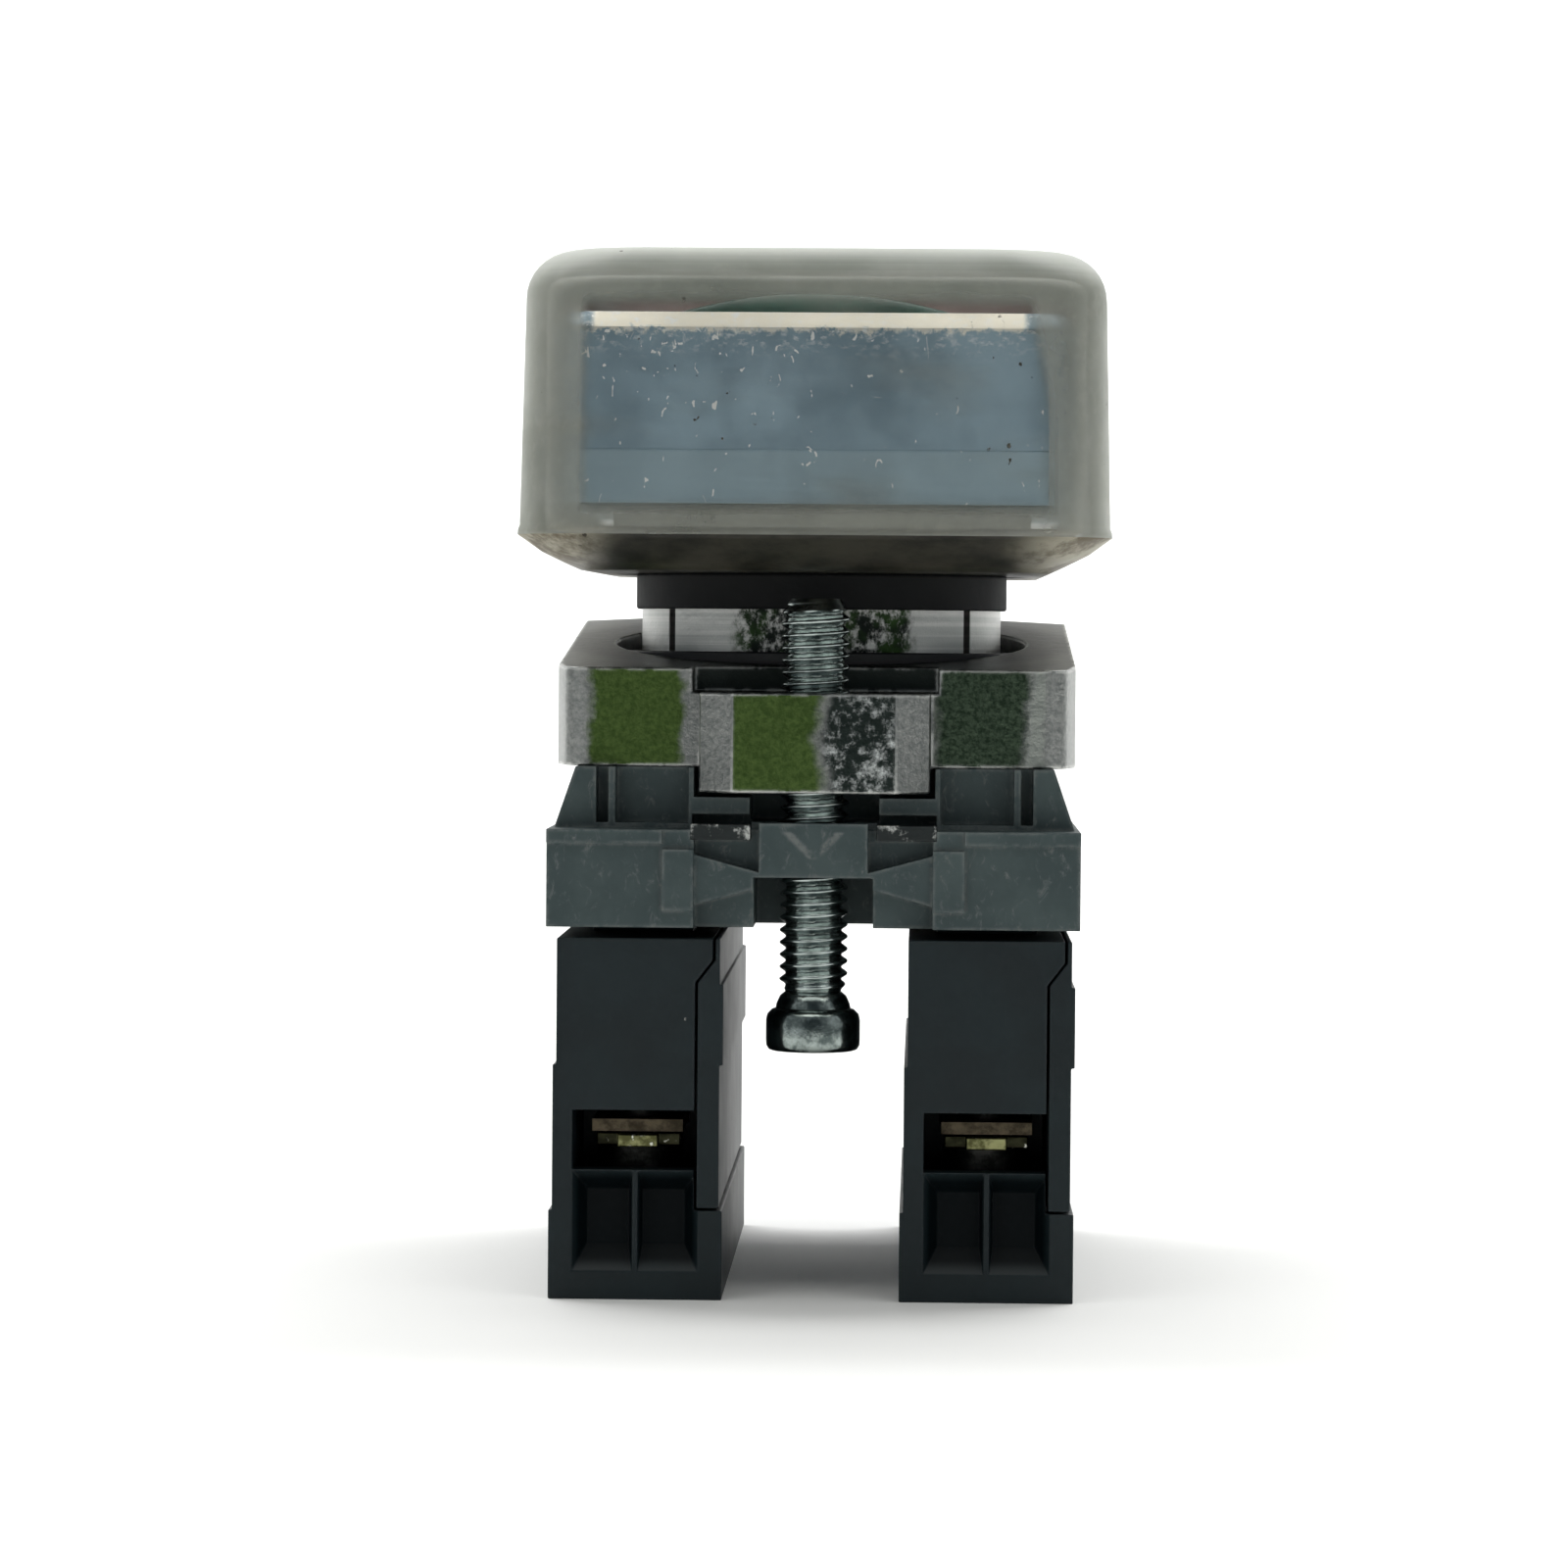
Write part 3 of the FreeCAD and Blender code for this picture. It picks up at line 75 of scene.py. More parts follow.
class Finish:
    """A Principled material with the node patterns that its parts share."""

    def __init__(self, name, **sockets):
        self.material = bpy.data.materials.new(name)
        self.material.use_nodes = True
        self.tree = self.material.node_tree
        self.shader = self.tree.nodes["Principled BSDF"]
        for socket, setting in sockets.items():
            self.shader.inputs[socket.replace("_", " ")].default_value = setting
        self.place = self.node("ShaderNodeTexCoord").outputs["Object"]

    def node(self, kind, **settings):
        made = self.tree.nodes.new(kind)
        for key, setting in settings.items():
            setattr(made, key, setting)
        return made

    def link(self, source, target):
        if isinstance(source, (int, float, tuple)):
            target.default_value = source
        else:
            self.tree.links.new(source, target)

    def feed(self, socket, source):
        self.link(source, self.shader.inputs[socket])

    def math(self, operation, first, second=0.0, clamp=False):
        made = self.node("ShaderNodeMath", operation=operation, use_clamp=clamp)
        self.link(first, made.inputs[0])
        self.link(second, made.inputs[1])
        return made.outputs[0]

    def stretched(self, scale):
        """Object coordinates in units of 1/scale metres, per axis."""
        made = self.node("ShaderNodeMapping")
        self.link(self.place, made.inputs["Vector"])
        made.inputs["Scale"].default_value = scale
        return made.outputs[0]

    def noise(self, scale, detail=3.0, rough=0.55, stretch=(1, 1, 1), distortion=0.0):
        made = self.node("ShaderNodeTexNoise")
        self.link(self.stretched(tuple(scale * s for s in stretch)), made.inputs["Vector"])
        made.inputs["Scale"].default_value = 1.0
        made.inputs["Detail"].default_value = detail
        made.inputs["Roughness"].default_value = rough
        made.inputs["Distortion"].default_value = distortion
        return made.outputs[0]

    def cells(self, scale):
        """Distance to the middle of the nearest cell."""
        made = self.node("ShaderNodeTexVoronoi", feature="F1")
        self.link(self.stretched((scale, scale, scale)), made.inputs["Vector"])
        made.inputs["Scale"].default_value = 1.0
        return made.outputs["Distance"]

    def between(self, source, low, high):
        """0 below low, 1 above high, smooth in between."""
        made = self.node("ShaderNodeMapRange", interpolation_type="SMOOTHSTEP")
        self.link(source, made.inputs["Value"])
        made.inputs["From Min"].default_value = low
        made.inputs["From Max"].default_value = high
        return made.outputs["Result"]

    def scaled(self, source, low, high):
        """A 0 to 1 value spread over low to high."""
        made = self.node("ShaderNodeMapRange")
        self.link(source, made.inputs["Value"])
        made.inputs["To Min"].default_value = low
        made.inputs["To Max"].default_value = high
        return made.outputs["Result"]

    def mix(self, share, first, second):
        """The first colour at share 0, the second at share 1."""
        made = self.node("ShaderNodeMix", data_type="RGBA")
        self.link(share, made.inputs["Factor"])
        for source, socket in ((first, made.inputs[6]), (second, made.inputs[7])):
            if isinstance(source, tuple):
                source = (*source, 1.0)
            self.link(source, socket)
        return made.outputs[2]

    def axis(self, letter):
        """The object coordinate along X, Y or Z, in metres."""
        made = self.node("ShaderNodeSeparateXYZ")
        self.link(self.place, made.inputs[0])
        return made.outputs[letter]

    def facing(self, letter):
        """The surface normal's part along an axis of the object."""
        turned = self.node("ShaderNodeVectorTransform", vector_type="NORMAL",
                           convert_from="WORLD", convert_to="OBJECT")
        self.link(self.node("ShaderNodeNewGeometry").outputs["True Normal"], turned.inputs[0])
        made = self.node("ShaderNodeSeparateXYZ")
        self.link(turned.outputs[0], made.inputs[0])
        return made.outputs[letter]

    def edge(self, radius):
        """1 within a radius, in metres, of a sharp edge, and 0 on flat ground."""
        rounded = self.node("ShaderNodeBevel", samples=6)
        rounded.inputs["Radius"].default_value = radius
        across = self.node("ShaderNodeVectorMath", operation="DOT_PRODUCT")
        self.link(rounded.outputs[0], across.inputs[0])
        self.link(self.node("ShaderNodeNewGeometry").outputs["True Normal"], across.inputs[1])
        return self.between(across.outputs["Value"], 0.995, 0.86)

    def grazing(self):
        """0 where the surface is seen face on, 1 where it is seen along itself."""
        made = self.node("ShaderNodeLayerWeight")
        made.inputs["Blend"].default_value = 0.5
        return made.outputs["Facing"]

    def bump(self, height, strength, distance):
        """Relief on top of the relief that is there already."""
        made = self.node("ShaderNodeBump")
        made.inputs["Strength"].default_value = strength
        made.inputs["Distance"].default_value = distance
        self.link(height, made.inputs["Height"])
        previous = self.shader.inputs["Normal"]
        if previous.is_linked:
            self.link(previous.links[0].from_socket, made.inputs["Normal"])
        self.link(made.outputs[0], previous)


def silicone():
    """Milky, yellowed silicone, clear where it clings to the bezel's end and dense at its walls;
    painted shade under it and painted light on top.
    """
    f = Finish("boot_silicone", IOR=1.41, Subsurface_Weight=0.2, Subsurface_Scale=0.002,
               Subsurface_Radius=(1.0, 0.9, 0.7), Specular_IOR_Level=0.3)
    across, height = f.axis("X"), f.axis("Z")
    window_left, window_right, window_fade = -0.0134, 0.0126, 0.0010
    window_lean = 0.22
    cloud = f.noise(120, 4, 0.6)
    smear = f.noise(90, 4, 0.5, (1, 0.35, 3.0))
    fine = f.noise(1100, 3, 0.6)
    milky = f.mix(f.between(cloud, 0.35, 0.7), (0.385, 0.395, 0.350), (0.300, 0.312, 0.272))
    milky = f.mix(f.math("MULTIPLY", f.between(smear, 0.48, 0.80), 0.5),
                  milky, (0.20, 0.205, 0.17))
    milky = f.mix(f.math("MULTIPLY", f.between(fine, 0.45, 0.7), 0.25),
                  milky, (0.46, 0.46, 0.41))
    # Painted shade on the underside below the bezel's foot, near black by the sleeve; the brown
    # at its sides is partly dirt.
    under = f.math("MULTIPLY", f.between(f.facing("Z"), -0.25, -0.5),
                   f.between(height, BEZEL_FOOT, BEZEL_FOOT - 0.0005))
    centre = f.between(f.math("ADD", f.math("ABSOLUTE", across), f.scaled(smear, -0.003, 0.003)),
                       0.0155, 0.0105)
    shade_and_grime = f.mix(f.between(f.noise(240, 5, 0.7, (1, 1, 2)), 0.35, 0.65),
                  (0.008, 0.008, 0.006), (0.030, 0.028, 0.021))
    sole = f.mix(centre, f.mix(f.between(f.noise(330, 5, 0.7), 0.42, 0.6),
                               (0.33, 0.31, 0.24), (0.12, 0.10, 0.065)), shade_and_grime)
    # Painted light: the boot's top above the rim is made paler.
    pale = f.between(height, RIM_LEVEL + 0.0012, RIM_LEVEL + 0.0030)
    milky = f.mix(f.math("MULTIPLY", pale, 0.6), milky, (0.50, 0.52, 0.48))
    colour = f.mix(under, milky, sole)
    speck = f.math("MULTIPLY", f.between(f.noise(1700, 2, 0.4), 0.725, 0.75),
                   f.between(f.noise(170, 2), 0.56, 0.60))
    f.feed("Base Color", f.mix(speck, colour, (0.035, 0.03, 0.02)))
    f.feed("Roughness", f.scaled(f.between(smear, 0.4, 0.75), 0.36, 0.6))
    end_face = f.between(f.math("ABSOLUTE", f.facing("Y")), 0.90, 0.97)
    wander = f.math("ADD", across, f.scaled(cloud, -0.0006, 0.0006))
    lean = f.math("MULTIPLY", f.math("SUBTRACT", RIM_LEVEL, height), window_lean)
    cling = f.math("MULTIPLY", f.between(wander, window_left, window_left + window_fade),
                   f.between(f.math("SUBTRACT", wander, lean), window_right,
                             window_right - window_fade))
    cling = f.math("MULTIPLY", cling, f.between(height, RIM_LEVEL + 0.0012, RIM_LEVEL))
    cling = f.math("MULTIPLY", f.math("MULTIPLY", cling, end_face),
                   f.between(height, BEZEL_FOOT - 0.0008, BEZEL_FOOT + 0.0003))
    film = f.scaled(f.between(smear, 0.5, 0.75), 0.0, 0.14)
    body = f.scaled(f.between(f.grazing(), 0.15, 0.75), 0.42, 0.97)
    body = f.math("ADD", body, f.math("MULTIPLY", f.between(f.facing("Z"), 0.4, 0.9), -0.12))
    body = f.math("ADD", body, f.math("MULTIPLY", under, 0.5), True)
    body = f.math("SUBTRACT", body, f.math("MULTIPLY", cling, 0.36))
    body = f.math("ADD", body, film)
    f.feed("Alpha", f.math("MAXIMUM", body, f.math("MULTIPLY", speck, 0.9), True))
    f.bump(f.noise(70, 3), 0.35, 0.0006)
    f.bump(f.noise(1500, 4, 0.7), 0.15, 0.0001)
    return f.material


def bright_metal():
    """Bright plated bezel: bluish chrome with fine scratches, nicks, a rubbed rim, painted
    reflections along the rim and a painted highlight on its foot.
    """
    f = Finish("bright_metal", Metallic=1.0)
    across, height = f.axis("X"), f.axis("Z")
    haze = f.noise(170, 5, 0.6)
    ground = f.mix(f.between(haze, 0.3, 0.7), (0.270, 0.390, 0.470), (0.365, 0.500, 0.580))
    # Painted highlight: the bezel's foot below the step is made paler.
    foot = f.between(height, BEZEL_STEP + 0.00005, BEZEL_STEP - 0.0002)
    ground = f.mix(f.math("MULTIPLY", foot, 0.5), ground, (0.47, 0.60, 0.64))
    ragged = f.math("ADD", height, f.scaled(f.noise(1500, 4, 0.7), -0.0009, 0.0009))
    # Painted reflections along the rim: a cream highlight on its flat part and painted dark at
    # its round corners.
    rim = f.between(ragged, RIM_LEVEL - 0.00120, RIM_LEVEL - 0.0009)
    highlight_left, highlight_right = (-0.0127, -0.0122), (0.0121, 0.0115)
    within = f.math("MULTIPLY", f.between(across, *highlight_left), f.between(across, *highlight_right))
    ground = f.mix(f.math("MULTIPLY", rim, within), ground, (0.98, 0.93, 0.80))
    shaded_corners = f.math("SUBTRACT", 1.0, within)
    ground = f.mix(f.math("MULTIPLY", rim, shaded_corners), ground, (0.20, 0.27, 0.31))
    rubbed = f.math("MULTIPLY", f.between(f.noise(1900, 5, 0.7, (1, 1, 1.6)), 0.50, 0.66),
                    f.between(height, RIM_LEVEL - 0.0030, RIM_LEVEL - 0.0010))
    upper_left = f.math("MULTIPLY", f.between(across, 0.009, -0.009),
                        f.between(height, BEZEL_STEP - 0.001, RIM_LEVEL))
    nick_level = f.scaled(upper_left, 0.73, 0.65)
    nick = f.math("GREATER_THAN", f.noise(2100, 2, 0.45, (1, 1, 0.7), 0.8), nick_level)
    hair = f.math("ABSOLUTE", f.math("SUBTRACT", f.noise(260, 1, 0.3, (1, 1, 1), 0.4), 0.5))
    hair = f.math("MULTIPLY", f.math("LESS_THAN", hair, 0.0028),
                  f.between(f.noise(410, 2), 0.62, 0.65))
    marks = f.math("MAXIMUM", f.math("MAXIMUM", nick, f.math("MULTIPLY", hair, 0.5)),
                   f.math("MULTIPLY", rubbed, 0.6))
    f.feed("Base Color", f.mix(marks, ground, (0.97, 0.97, 0.93)))
    f.feed("Roughness", f.scaled(f.math("ADD", f.between(haze, 0.3, 0.75), marks, True),
                                 0.29, 0.46))
    f.bump(f.noise(900, 3, 0.6, (0.15, 0.15, 6)), 0.10, 0.00005)
    f.bump(f.math("MAXIMUM", nick, hair), 0.5, 0.00008)
    return f.material


def cast_zinc():
    """Die-cast zinc: painted reflections on its front faces, painted shade, even grey flanks and
    painted highlights along ragged edges.
    """
    f = Finish("cast_zinc", Metallic=1.0)
    across, along = f.axis("X"), f.axis("Y")
    patch = f.noise(420, 4, 0.65)
    skin = f.noise(3300, 4, 0.7)
    grain = f.between(skin, 0.36, 0.64)
    grey = f.mix(grain, (0.205, 0.215, 0.208), (0.300, 0.306, 0.292))
    front = f.between(f.math("MULTIPLY", f.facing("Y"), -1.0), 0.965, 0.99)
    x = f.math("ADD", across, f.scaled(patch, -0.0010, 0.0010))

    def band(rise, full, fall, gone):
        """1 from full to fall across the collar's face, fading to 0 at rise and gone."""
        return f.math("MULTIPLY", f.between(x, rise, full), f.between(x, gone, fall))

    # Painted reflections on the collar's front faces: olive and murky patches, and a dark strip
    # with bright painted glints.
    left_green_reflection = band(-0.0133, -0.0127, -0.0080, -0.0074)
    middle_green_reflection = band(-0.0052, -0.0046, -0.0002, 0.0008)
    green = f.math("MULTIPLY", f.math("ADD", left_green_reflection, middle_green_reflection), front, True)
    dark_green_reflection = f.math("MULTIPLY", band(0.0064, 0.0072, 0.0118, 0.0126), front)
    olive_reflection = f.mix(grain, (0.052, 0.088, 0.024), (0.088, 0.138, 0.040))
    murky_reflection = f.mix(grain, (0.026, 0.042, 0.026), (0.070, 0.098, 0.066))
    sparkle = f.math("MULTIPLY", band(0.0004, 0.0012, 0.0050, 0.0056), front)
    painted_glints = f.mix(f.between(f.noise(1500, 6, 0.75), 0.46, 0.74), (0.024, 0.032, 0.029),
                    (0.85, 0.88, 0.86))
    colour = f.mix(green, grey, olive_reflection)
    colour = f.mix(dark_green_reflection, colour, murky_reflection)
    colour = f.mix(sparkle, colour, painted_glints)
    # Painted highlights: pale strips at the front faces' outer corners.
    left_highlight = band(-0.0152, -0.0146, -0.0138, -0.0134)
    right_highlight = band(0.0122, 0.0125, 0.0130, 0.0134)
    pale = f.math("MULTIPLY", f.math("MAXIMUM", left_highlight, right_highlight), front)
    colour = f.mix(pale, colour, (0.34, 0.36, 0.33))
    # Painted shade on the front faces set back in the recesses.
    recess_start, recess_full = -0.0150, -0.0143
    recess_shade = f.math("MULTIPLY", front, f.between(along, recess_start, recess_full))
    colour = f.mix(recess_shade, colour, (0.030, 0.036, 0.033))
    reach = f.math("SQRT", f.math("ADD", f.math("MULTIPLY", across, across),
                                  f.math("MULTIPLY", along, along)))
    shade_outer, shade_inner = 0.0165, 0.0142
    shade = f.math("MULTIPLY", f.between(f.facing("Z"), 0.5, 0.8),
                   f.scaled(f.between(reach, shade_outer, shade_inner), 0.55, 0.92))
    colour = f.mix(shade, colour, (0.030, 0.036, 0.034))
    # Painted highlights along the sharp edges, in ragged stretches, near white and less
    # metallic.
    ragged = f.between(f.noise(800, 4, 0.7), 0.40, 0.52)
    rubbed = f.math("MULTIPLY", f.edge(0.0004), ragged)
    f.feed("Base Color", f.mix(rubbed, colour, (0.95, 0.95, 0.91)))
    f.feed("Metallic", f.scaled(rubbed, 1.0, 0.4))
    f.feed("Roughness", f.math("ADD", f.scaled(skin, 0.29, 0.42),
                               f.math("MULTIPLY", green, 0.12), True))
    f.bump(f.noise(900, 5, 0.7), 0.5, 0.00014)
    f.bump(f.noise(3200, 3, 0.6), 0.2, 0.00004)
    return f.material


def spring_steel():
    """Spring steel, dark, with small painted glints."""
    f = Finish("spring_steel", Metallic=1.0)
    stain = f.noise(900, 5, 0.7)
    # Painted glints: small bright spots on the dark steel.
    f.feed("Base Color", f.mix(f.between(stain, 0.54, 0.66), (0.040, 0.045, 0.045),
                               (0.60, 0.61, 0.58)))
    f.feed("Roughness", f.scaled(stain, 0.29, 0.5))
    f.bump(f.noise(1800, 3), 0.3, 0.00008)
    return f.material


def barrel_metal():
    """Turned barrel: fine circumferential lines, and a painted dark reflection, mottled, in a
    strip near and far.
    """
    f = Finish("barrel_metal", Metallic=1.0)
    turned = f.noise(700, 3, 0.5, (0.05, 0.05, 8))
    pit = f.noise(1500, 6, 0.75, (1, 1, 0.8))
    ground = f.mix(f.between(turned, 0.35, 0.7), (0.36, 0.37, 0.355), (0.50, 0.50, 0.48))
    # Painted reflection: a dark, mottled strip down the barrel's middle, near and far.
    strip_middle, strip_outer, strip_inner, wander = 0.0003, 0.0056, 0.0044, 0.0012
    side = f.math("ABSOLUTE", f.math("SUBTRACT", f.axis("X"), strip_middle))
    middle = f.between(f.math("ADD", side, f.scaled(pit, -wander, wander)),
                       strip_outer, strip_inner)
    black = f.math("MULTIPLY", middle, f.between(pit, 0.64, 0.46))
    reflection_mottle = f.mix(f.between(f.noise(330, 3), 0.45, 0.6), (0.012, 0.016, 0.014),
                   (0.030, 0.060, 0.020))
    f.feed("Base Color", f.mix(black, ground, reflection_mottle))
    f.feed("Roughness", f.scaled(f.math("ADD", black, f.scaled(pit, 0.0, 0.3), True),
                                 0.29, 0.42))
    f.bump(turned, 0.15, 0.00004)
    f.bump(pit, 0.5, 0.00012)
    return f.material


def plated_screw():
    """Zinc plated steel: darker thread roots and a dark, glossy head."""
    f = Finish("plated_screw", Metallic=1.0)
    stain = f.noise(900, 5, 0.65)
    ground = f.mix(f.between(stain, 0.38, 0.66), (0.50, 0.56, 0.54), (0.24, 0.28, 0.27))
    fade = 0.0001
    head = f.between(f.axis("Z"), SCREW_HEAD_TOP + fade, SCREW_HEAD_TOP - fade)
    smoky = f.mix(f.between(stain, 0.40, 0.60), (0.34, 0.39, 0.37), (0.10, 0.125, 0.12))
    ground = f.mix(head, ground, smoky)
    hollow = f.between(f.node("ShaderNodeNewGeometry").outputs["Pointiness"], 0.49, 0.42)
    f.feed("Base Color", f.mix(hollow, ground, (0.030, 0.035, 0.030)))
    f.feed("Roughness", f.scaled(stain, 0.10, 0.26))
    f.bump(f.noise(1300, 3), 0.3, 0.00008)
    return f.material


def brass(name, bright, dull, wings=False):
    """Tarnished plate; the wings of a clamp plate, beside its tongue, get painted shade nearly
    to black, and the plate painted glints.
    """
    f = Finish(name, Metallic=1.0)
    tarnish = f.noise(700, 5, 0.7)
    colour = f.mix(f.between(tarnish, 0.40, 0.60), bright, dull)
    if wings:
        aside = f.math("SUBTRACT", f.math("ABSOLUTE", f.axis("X")), BLOCK_OFFSET)
        tongue_half, wing_start = 0.0010, 0.0013
        # Painted shade: the wings beside the tongue are darkened nearly to black.
        wing_shade = f.between(f.math("ABSOLUTE", aside), tongue_half, wing_start)
        colour = f.mix(f.math("MULTIPLY", wing_shade, 0.9), colour, (0.018, 0.018, 0.013))
        # Painted glints: small bright spots over the plate.
        glint = f.between(f.noise(1500, 3, 0.5), 0.60, 0.66)
        colour = f.mix(glint, colour, (0.92, 0.92, 0.80))
    f.feed("Base Color", colour)
    f.feed("Roughness", f.scaled(tarnish, 0.3, 0.6))
    f.bump(f.noise(1500, 3), 0.25, 0.00006)
    return f.material


class Moulding(Finish):
    """Moulded plastic: fine grain, cloudy sheen, scuffs, dust specks and pale worn edges."""

    def __init__(self, name, dark, light, worn, wear, scuffs, rough=(0.42, 0.62), grain=1400,
                 depth=0.00008, edge=0.00025):
        super().__init__(name, IOR=1.5, Specular_IOR_Level=0.35)
        cloud = self.noise(220, 4, 0.6)
        self.colour = self.mix(self.between(cloud, 0.35, 0.7), dark, light)
        scuff = self.between(self.noise(1500, 6, 0.75, (1, 1, 0.6), 0.8), 0.54, 0.74)
        self.lay(self.math("MULTIPLY", scuff, scuffs), worn)
        rubbed = self.math("MULTIPLY", self.edge(edge),
                           self.between(self.noise(900, 5, 0.7), 0.34, 0.58))
        self.lay(self.math("MULTIPLY", rubbed, wear), worn)
        dust = self.math("MULTIPLY", self.math("LESS_THAN", self.cells(600), 0.06),
                         self.between(self.noise(200, 2), 0.63, 0.65))
        self.lay(dust, (0.30, 0.30, 0.28))
        self.feed("Roughness", self.scaled(
            self.math("ADD", cloud, self.math("MULTIPLY", scuff, 0.4), True), *rough))
        self.bump(self.noise(grain, 4, 0.6), 0.35, depth)

    def lay(self, share, colour):
        """Another colour over what is there."""
        self.colour = self.mix(share, self.colour, colour)
        self.feed("Base Color", self.colour)


def carrier_plastic():
    """The carrier's dark grey, with a rubbed V on the screw guide."""
    worn = (0.155, 0.170, 0.165)
    vee_foot, vee_height, fade = 0.0252, 0.0015, 0.0001
    f = Moulding("grey_plastic", (0.040, 0.060, 0.062), (0.060, 0.084, 0.084), worn, 0.85, 0.8,
                 (0.45, 0.65), 900, 0.00016, 0.00042)
    rise = f.math("SUBTRACT", f.axis("Z"), vee_foot)
    arm = f.math("SUBTRACT", f.math("ABSOLUTE", f.axis("X")), rise)
    vee = f.math("MULTIPLY", f.between(f.math("ABSOLUTE", arm), 0.00045, 0.00010),
                 f.between(f.facing("Y"), -0.8, -0.95))
    low = f.math("MULTIPLY", f.between(rise, -fade, fade),
                 f.between(rise, vee_height + fade, vee_height - fade))
    broken = f.between(f.noise(1100, 4, 0.7), 0.38, 0.60)
    f.lay(f.math("MULTIPLY", f.math("MULTIPLY", vee, low), broken), worn)
    return f.material


def block_moulding():
    """The blocks' blue-black, with painted shade in the funnels under the wire entries."""
    f = Moulding("block_plastic", (0.0026, 0.0084, 0.0106), (0.0050, 0.0132, 0.0160),
                 (0.026, 0.034, 0.038), 0.4, 0.16, (0.40, 0.58), 1800, 0.00005)
    aside = f.math("SUBTRACT", f.math("ABSOLUTE", f.axis("X")), BLOCK_OFFSET)
    funnel_side, funnel_mouth, funnel_top = (0.0042, 0.0036), (0.01945, 0.0188), (0.0078, 0.0072)
    inside = f.between(f.math("ABSOLUTE", aside), *funnel_side)
    deep = f.between(f.math("ABSOLUTE", f.axis("Y")), *funnel_mouth)
    low = f.between(f.axis("Z"), *funnel_top)
    hollow = f.math("MULTIPLY", f.math("MULTIPLY", inside, deep), low)
    # Painted shade in the funnels: a darker colour and a weaker specular.
    f.lay(f.math("MULTIPLY", hollow, 0.8), (0.0004, 0.0014, 0.0022))
    f.feed("Specular IOR Level", f.scaled(hollow, 0.33, 0.10))
    return f.material


def gloss_plastic(name, dark, light):
    """Glossy moulded plastic, cloudy, with fine rubbed streaks."""
    f = Finish(name, IOR=1.5, Coat_Weight=0.2, Coat_Roughness=0.1)
    cloud = f.noise(160, 4, 0.6)
    fine = f.between(f.noise(800, 3, 0.5, (1, 4, 1), 0.8), 0.62, 0.68)
    f.feed("Base Color", f.mix(f.between(cloud, 0.3, 0.7), dark, light))
    f.feed("Roughness", f.scaled(f.math("ADD", cloud, fine, True), 0.30, 0.50))
    f.bump(f.noise(500, 3), 0.1, 0.00006)
    return f.material


MATERIALS = {
    "boot_silicone": silicone(),
    "bright_metal": bright_metal(),
    "cast_zinc": cast_zinc(),
    "barrel_metal": barrel_metal(),
    "spring_steel": spring_steel(),
    "plated_screw": plated_screw(),
    "contact_brass": brass("contact_brass", (0.105, 0.086, 0.058), (0.045, 0.037, 0.025)),
    "terminal_brass": brass("terminal_brass", (0.40, 0.40, 0.19), (0.12, 0.12, 0.05), True),
    # The terminal screws: dark steel, darkened further as painted shade inside the wire entries.
    "dark_screw": brass("dark_screw", (0.045, 0.045, 0.042), (0.015, 0.015, 0.014)),
    "grey_plastic": carrier_plastic(),
    "block_plastic": block_moulding(),
    "black_plastic": Moulding("black_plastic", (0.006, 0.007, 0.009), (0.011, 0.013, 0.015),
                              (0.05, 0.05, 0.05), 0.4, 0.2, (0.35, 0.55)).material,
    "black_rubber": Moulding("black_rubber", (0.0012, 0.0018, 0.0024), (0.003, 0.004, 0.005),
                             (0.02, 0.024, 0.026), 0.3, 0.2, (0.6, 0.8)).material,
    "white_plastic": gloss_plastic("white_plastic", (0.60, 0.60, 0.56), (0.68, 0.67, 0.62)),
    "green_plastic": gloss_plastic("green_plastic", (0.006, 0.095, 0.070),
                                   (0.010, 0.135, 0.095)),
    "red_plastic": gloss_plastic("red_plastic", (0.20, 0.010, 0.010), (0.27, 0.016, 0.014)),
}
SLOT_OF = {part["node"]: part["material_slot"] for part in frame["record"]["subparts"]}

# ---------------------------------------------------------------- pieces

WELD = 4e-6
FLAT_ANGLE = math.radians(0.6)
CORNER_STEPS = 14
STRAIGHT_STEPS = 12

# the boot, in millimetres
LIP_RISE = 1.8
LIP_HEIGHT = 0.8
LIP_STAND = 0.12
LIP_FADE = 0.15
TOP_ROUND = 2.8
WALL_DRAFT = math.tan(math.radians(1.3))
BOOT_SLIMMING = 0.3
BOOT_CORNER = 5.3
NECK_RADIUS = 10.95
SOLE_THICKNESS = 2.4
ROOF_THICKNESS = 1.6
INNER_ROUND = 1.0
BEZEL_GAP = 0.15
CAP_SHARES = (0.3, 0.6, 0.85, 1.0)
WAVE_SIZES = ((90, 0.18), (260, 0.05))
WAVE_FADE = 2.0


def finish_piece(piece, node, material):
    """Gives a new piece its finish and the body of the CAD node that it stands for, and hides
    that node.
    """
    piece.data.materials.clear()
    piece.data.materials.append(MATERIALS[material])
    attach(piece, NODES[node]["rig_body"])
    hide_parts(node)
    return piece


def new_piece(name, mesh):
    """An object in the scene for a mesh."""
    piece = bpy.data.objects.new(name, mesh)
    bpy.context.scene.collection.objects.link(piece)
    return piece


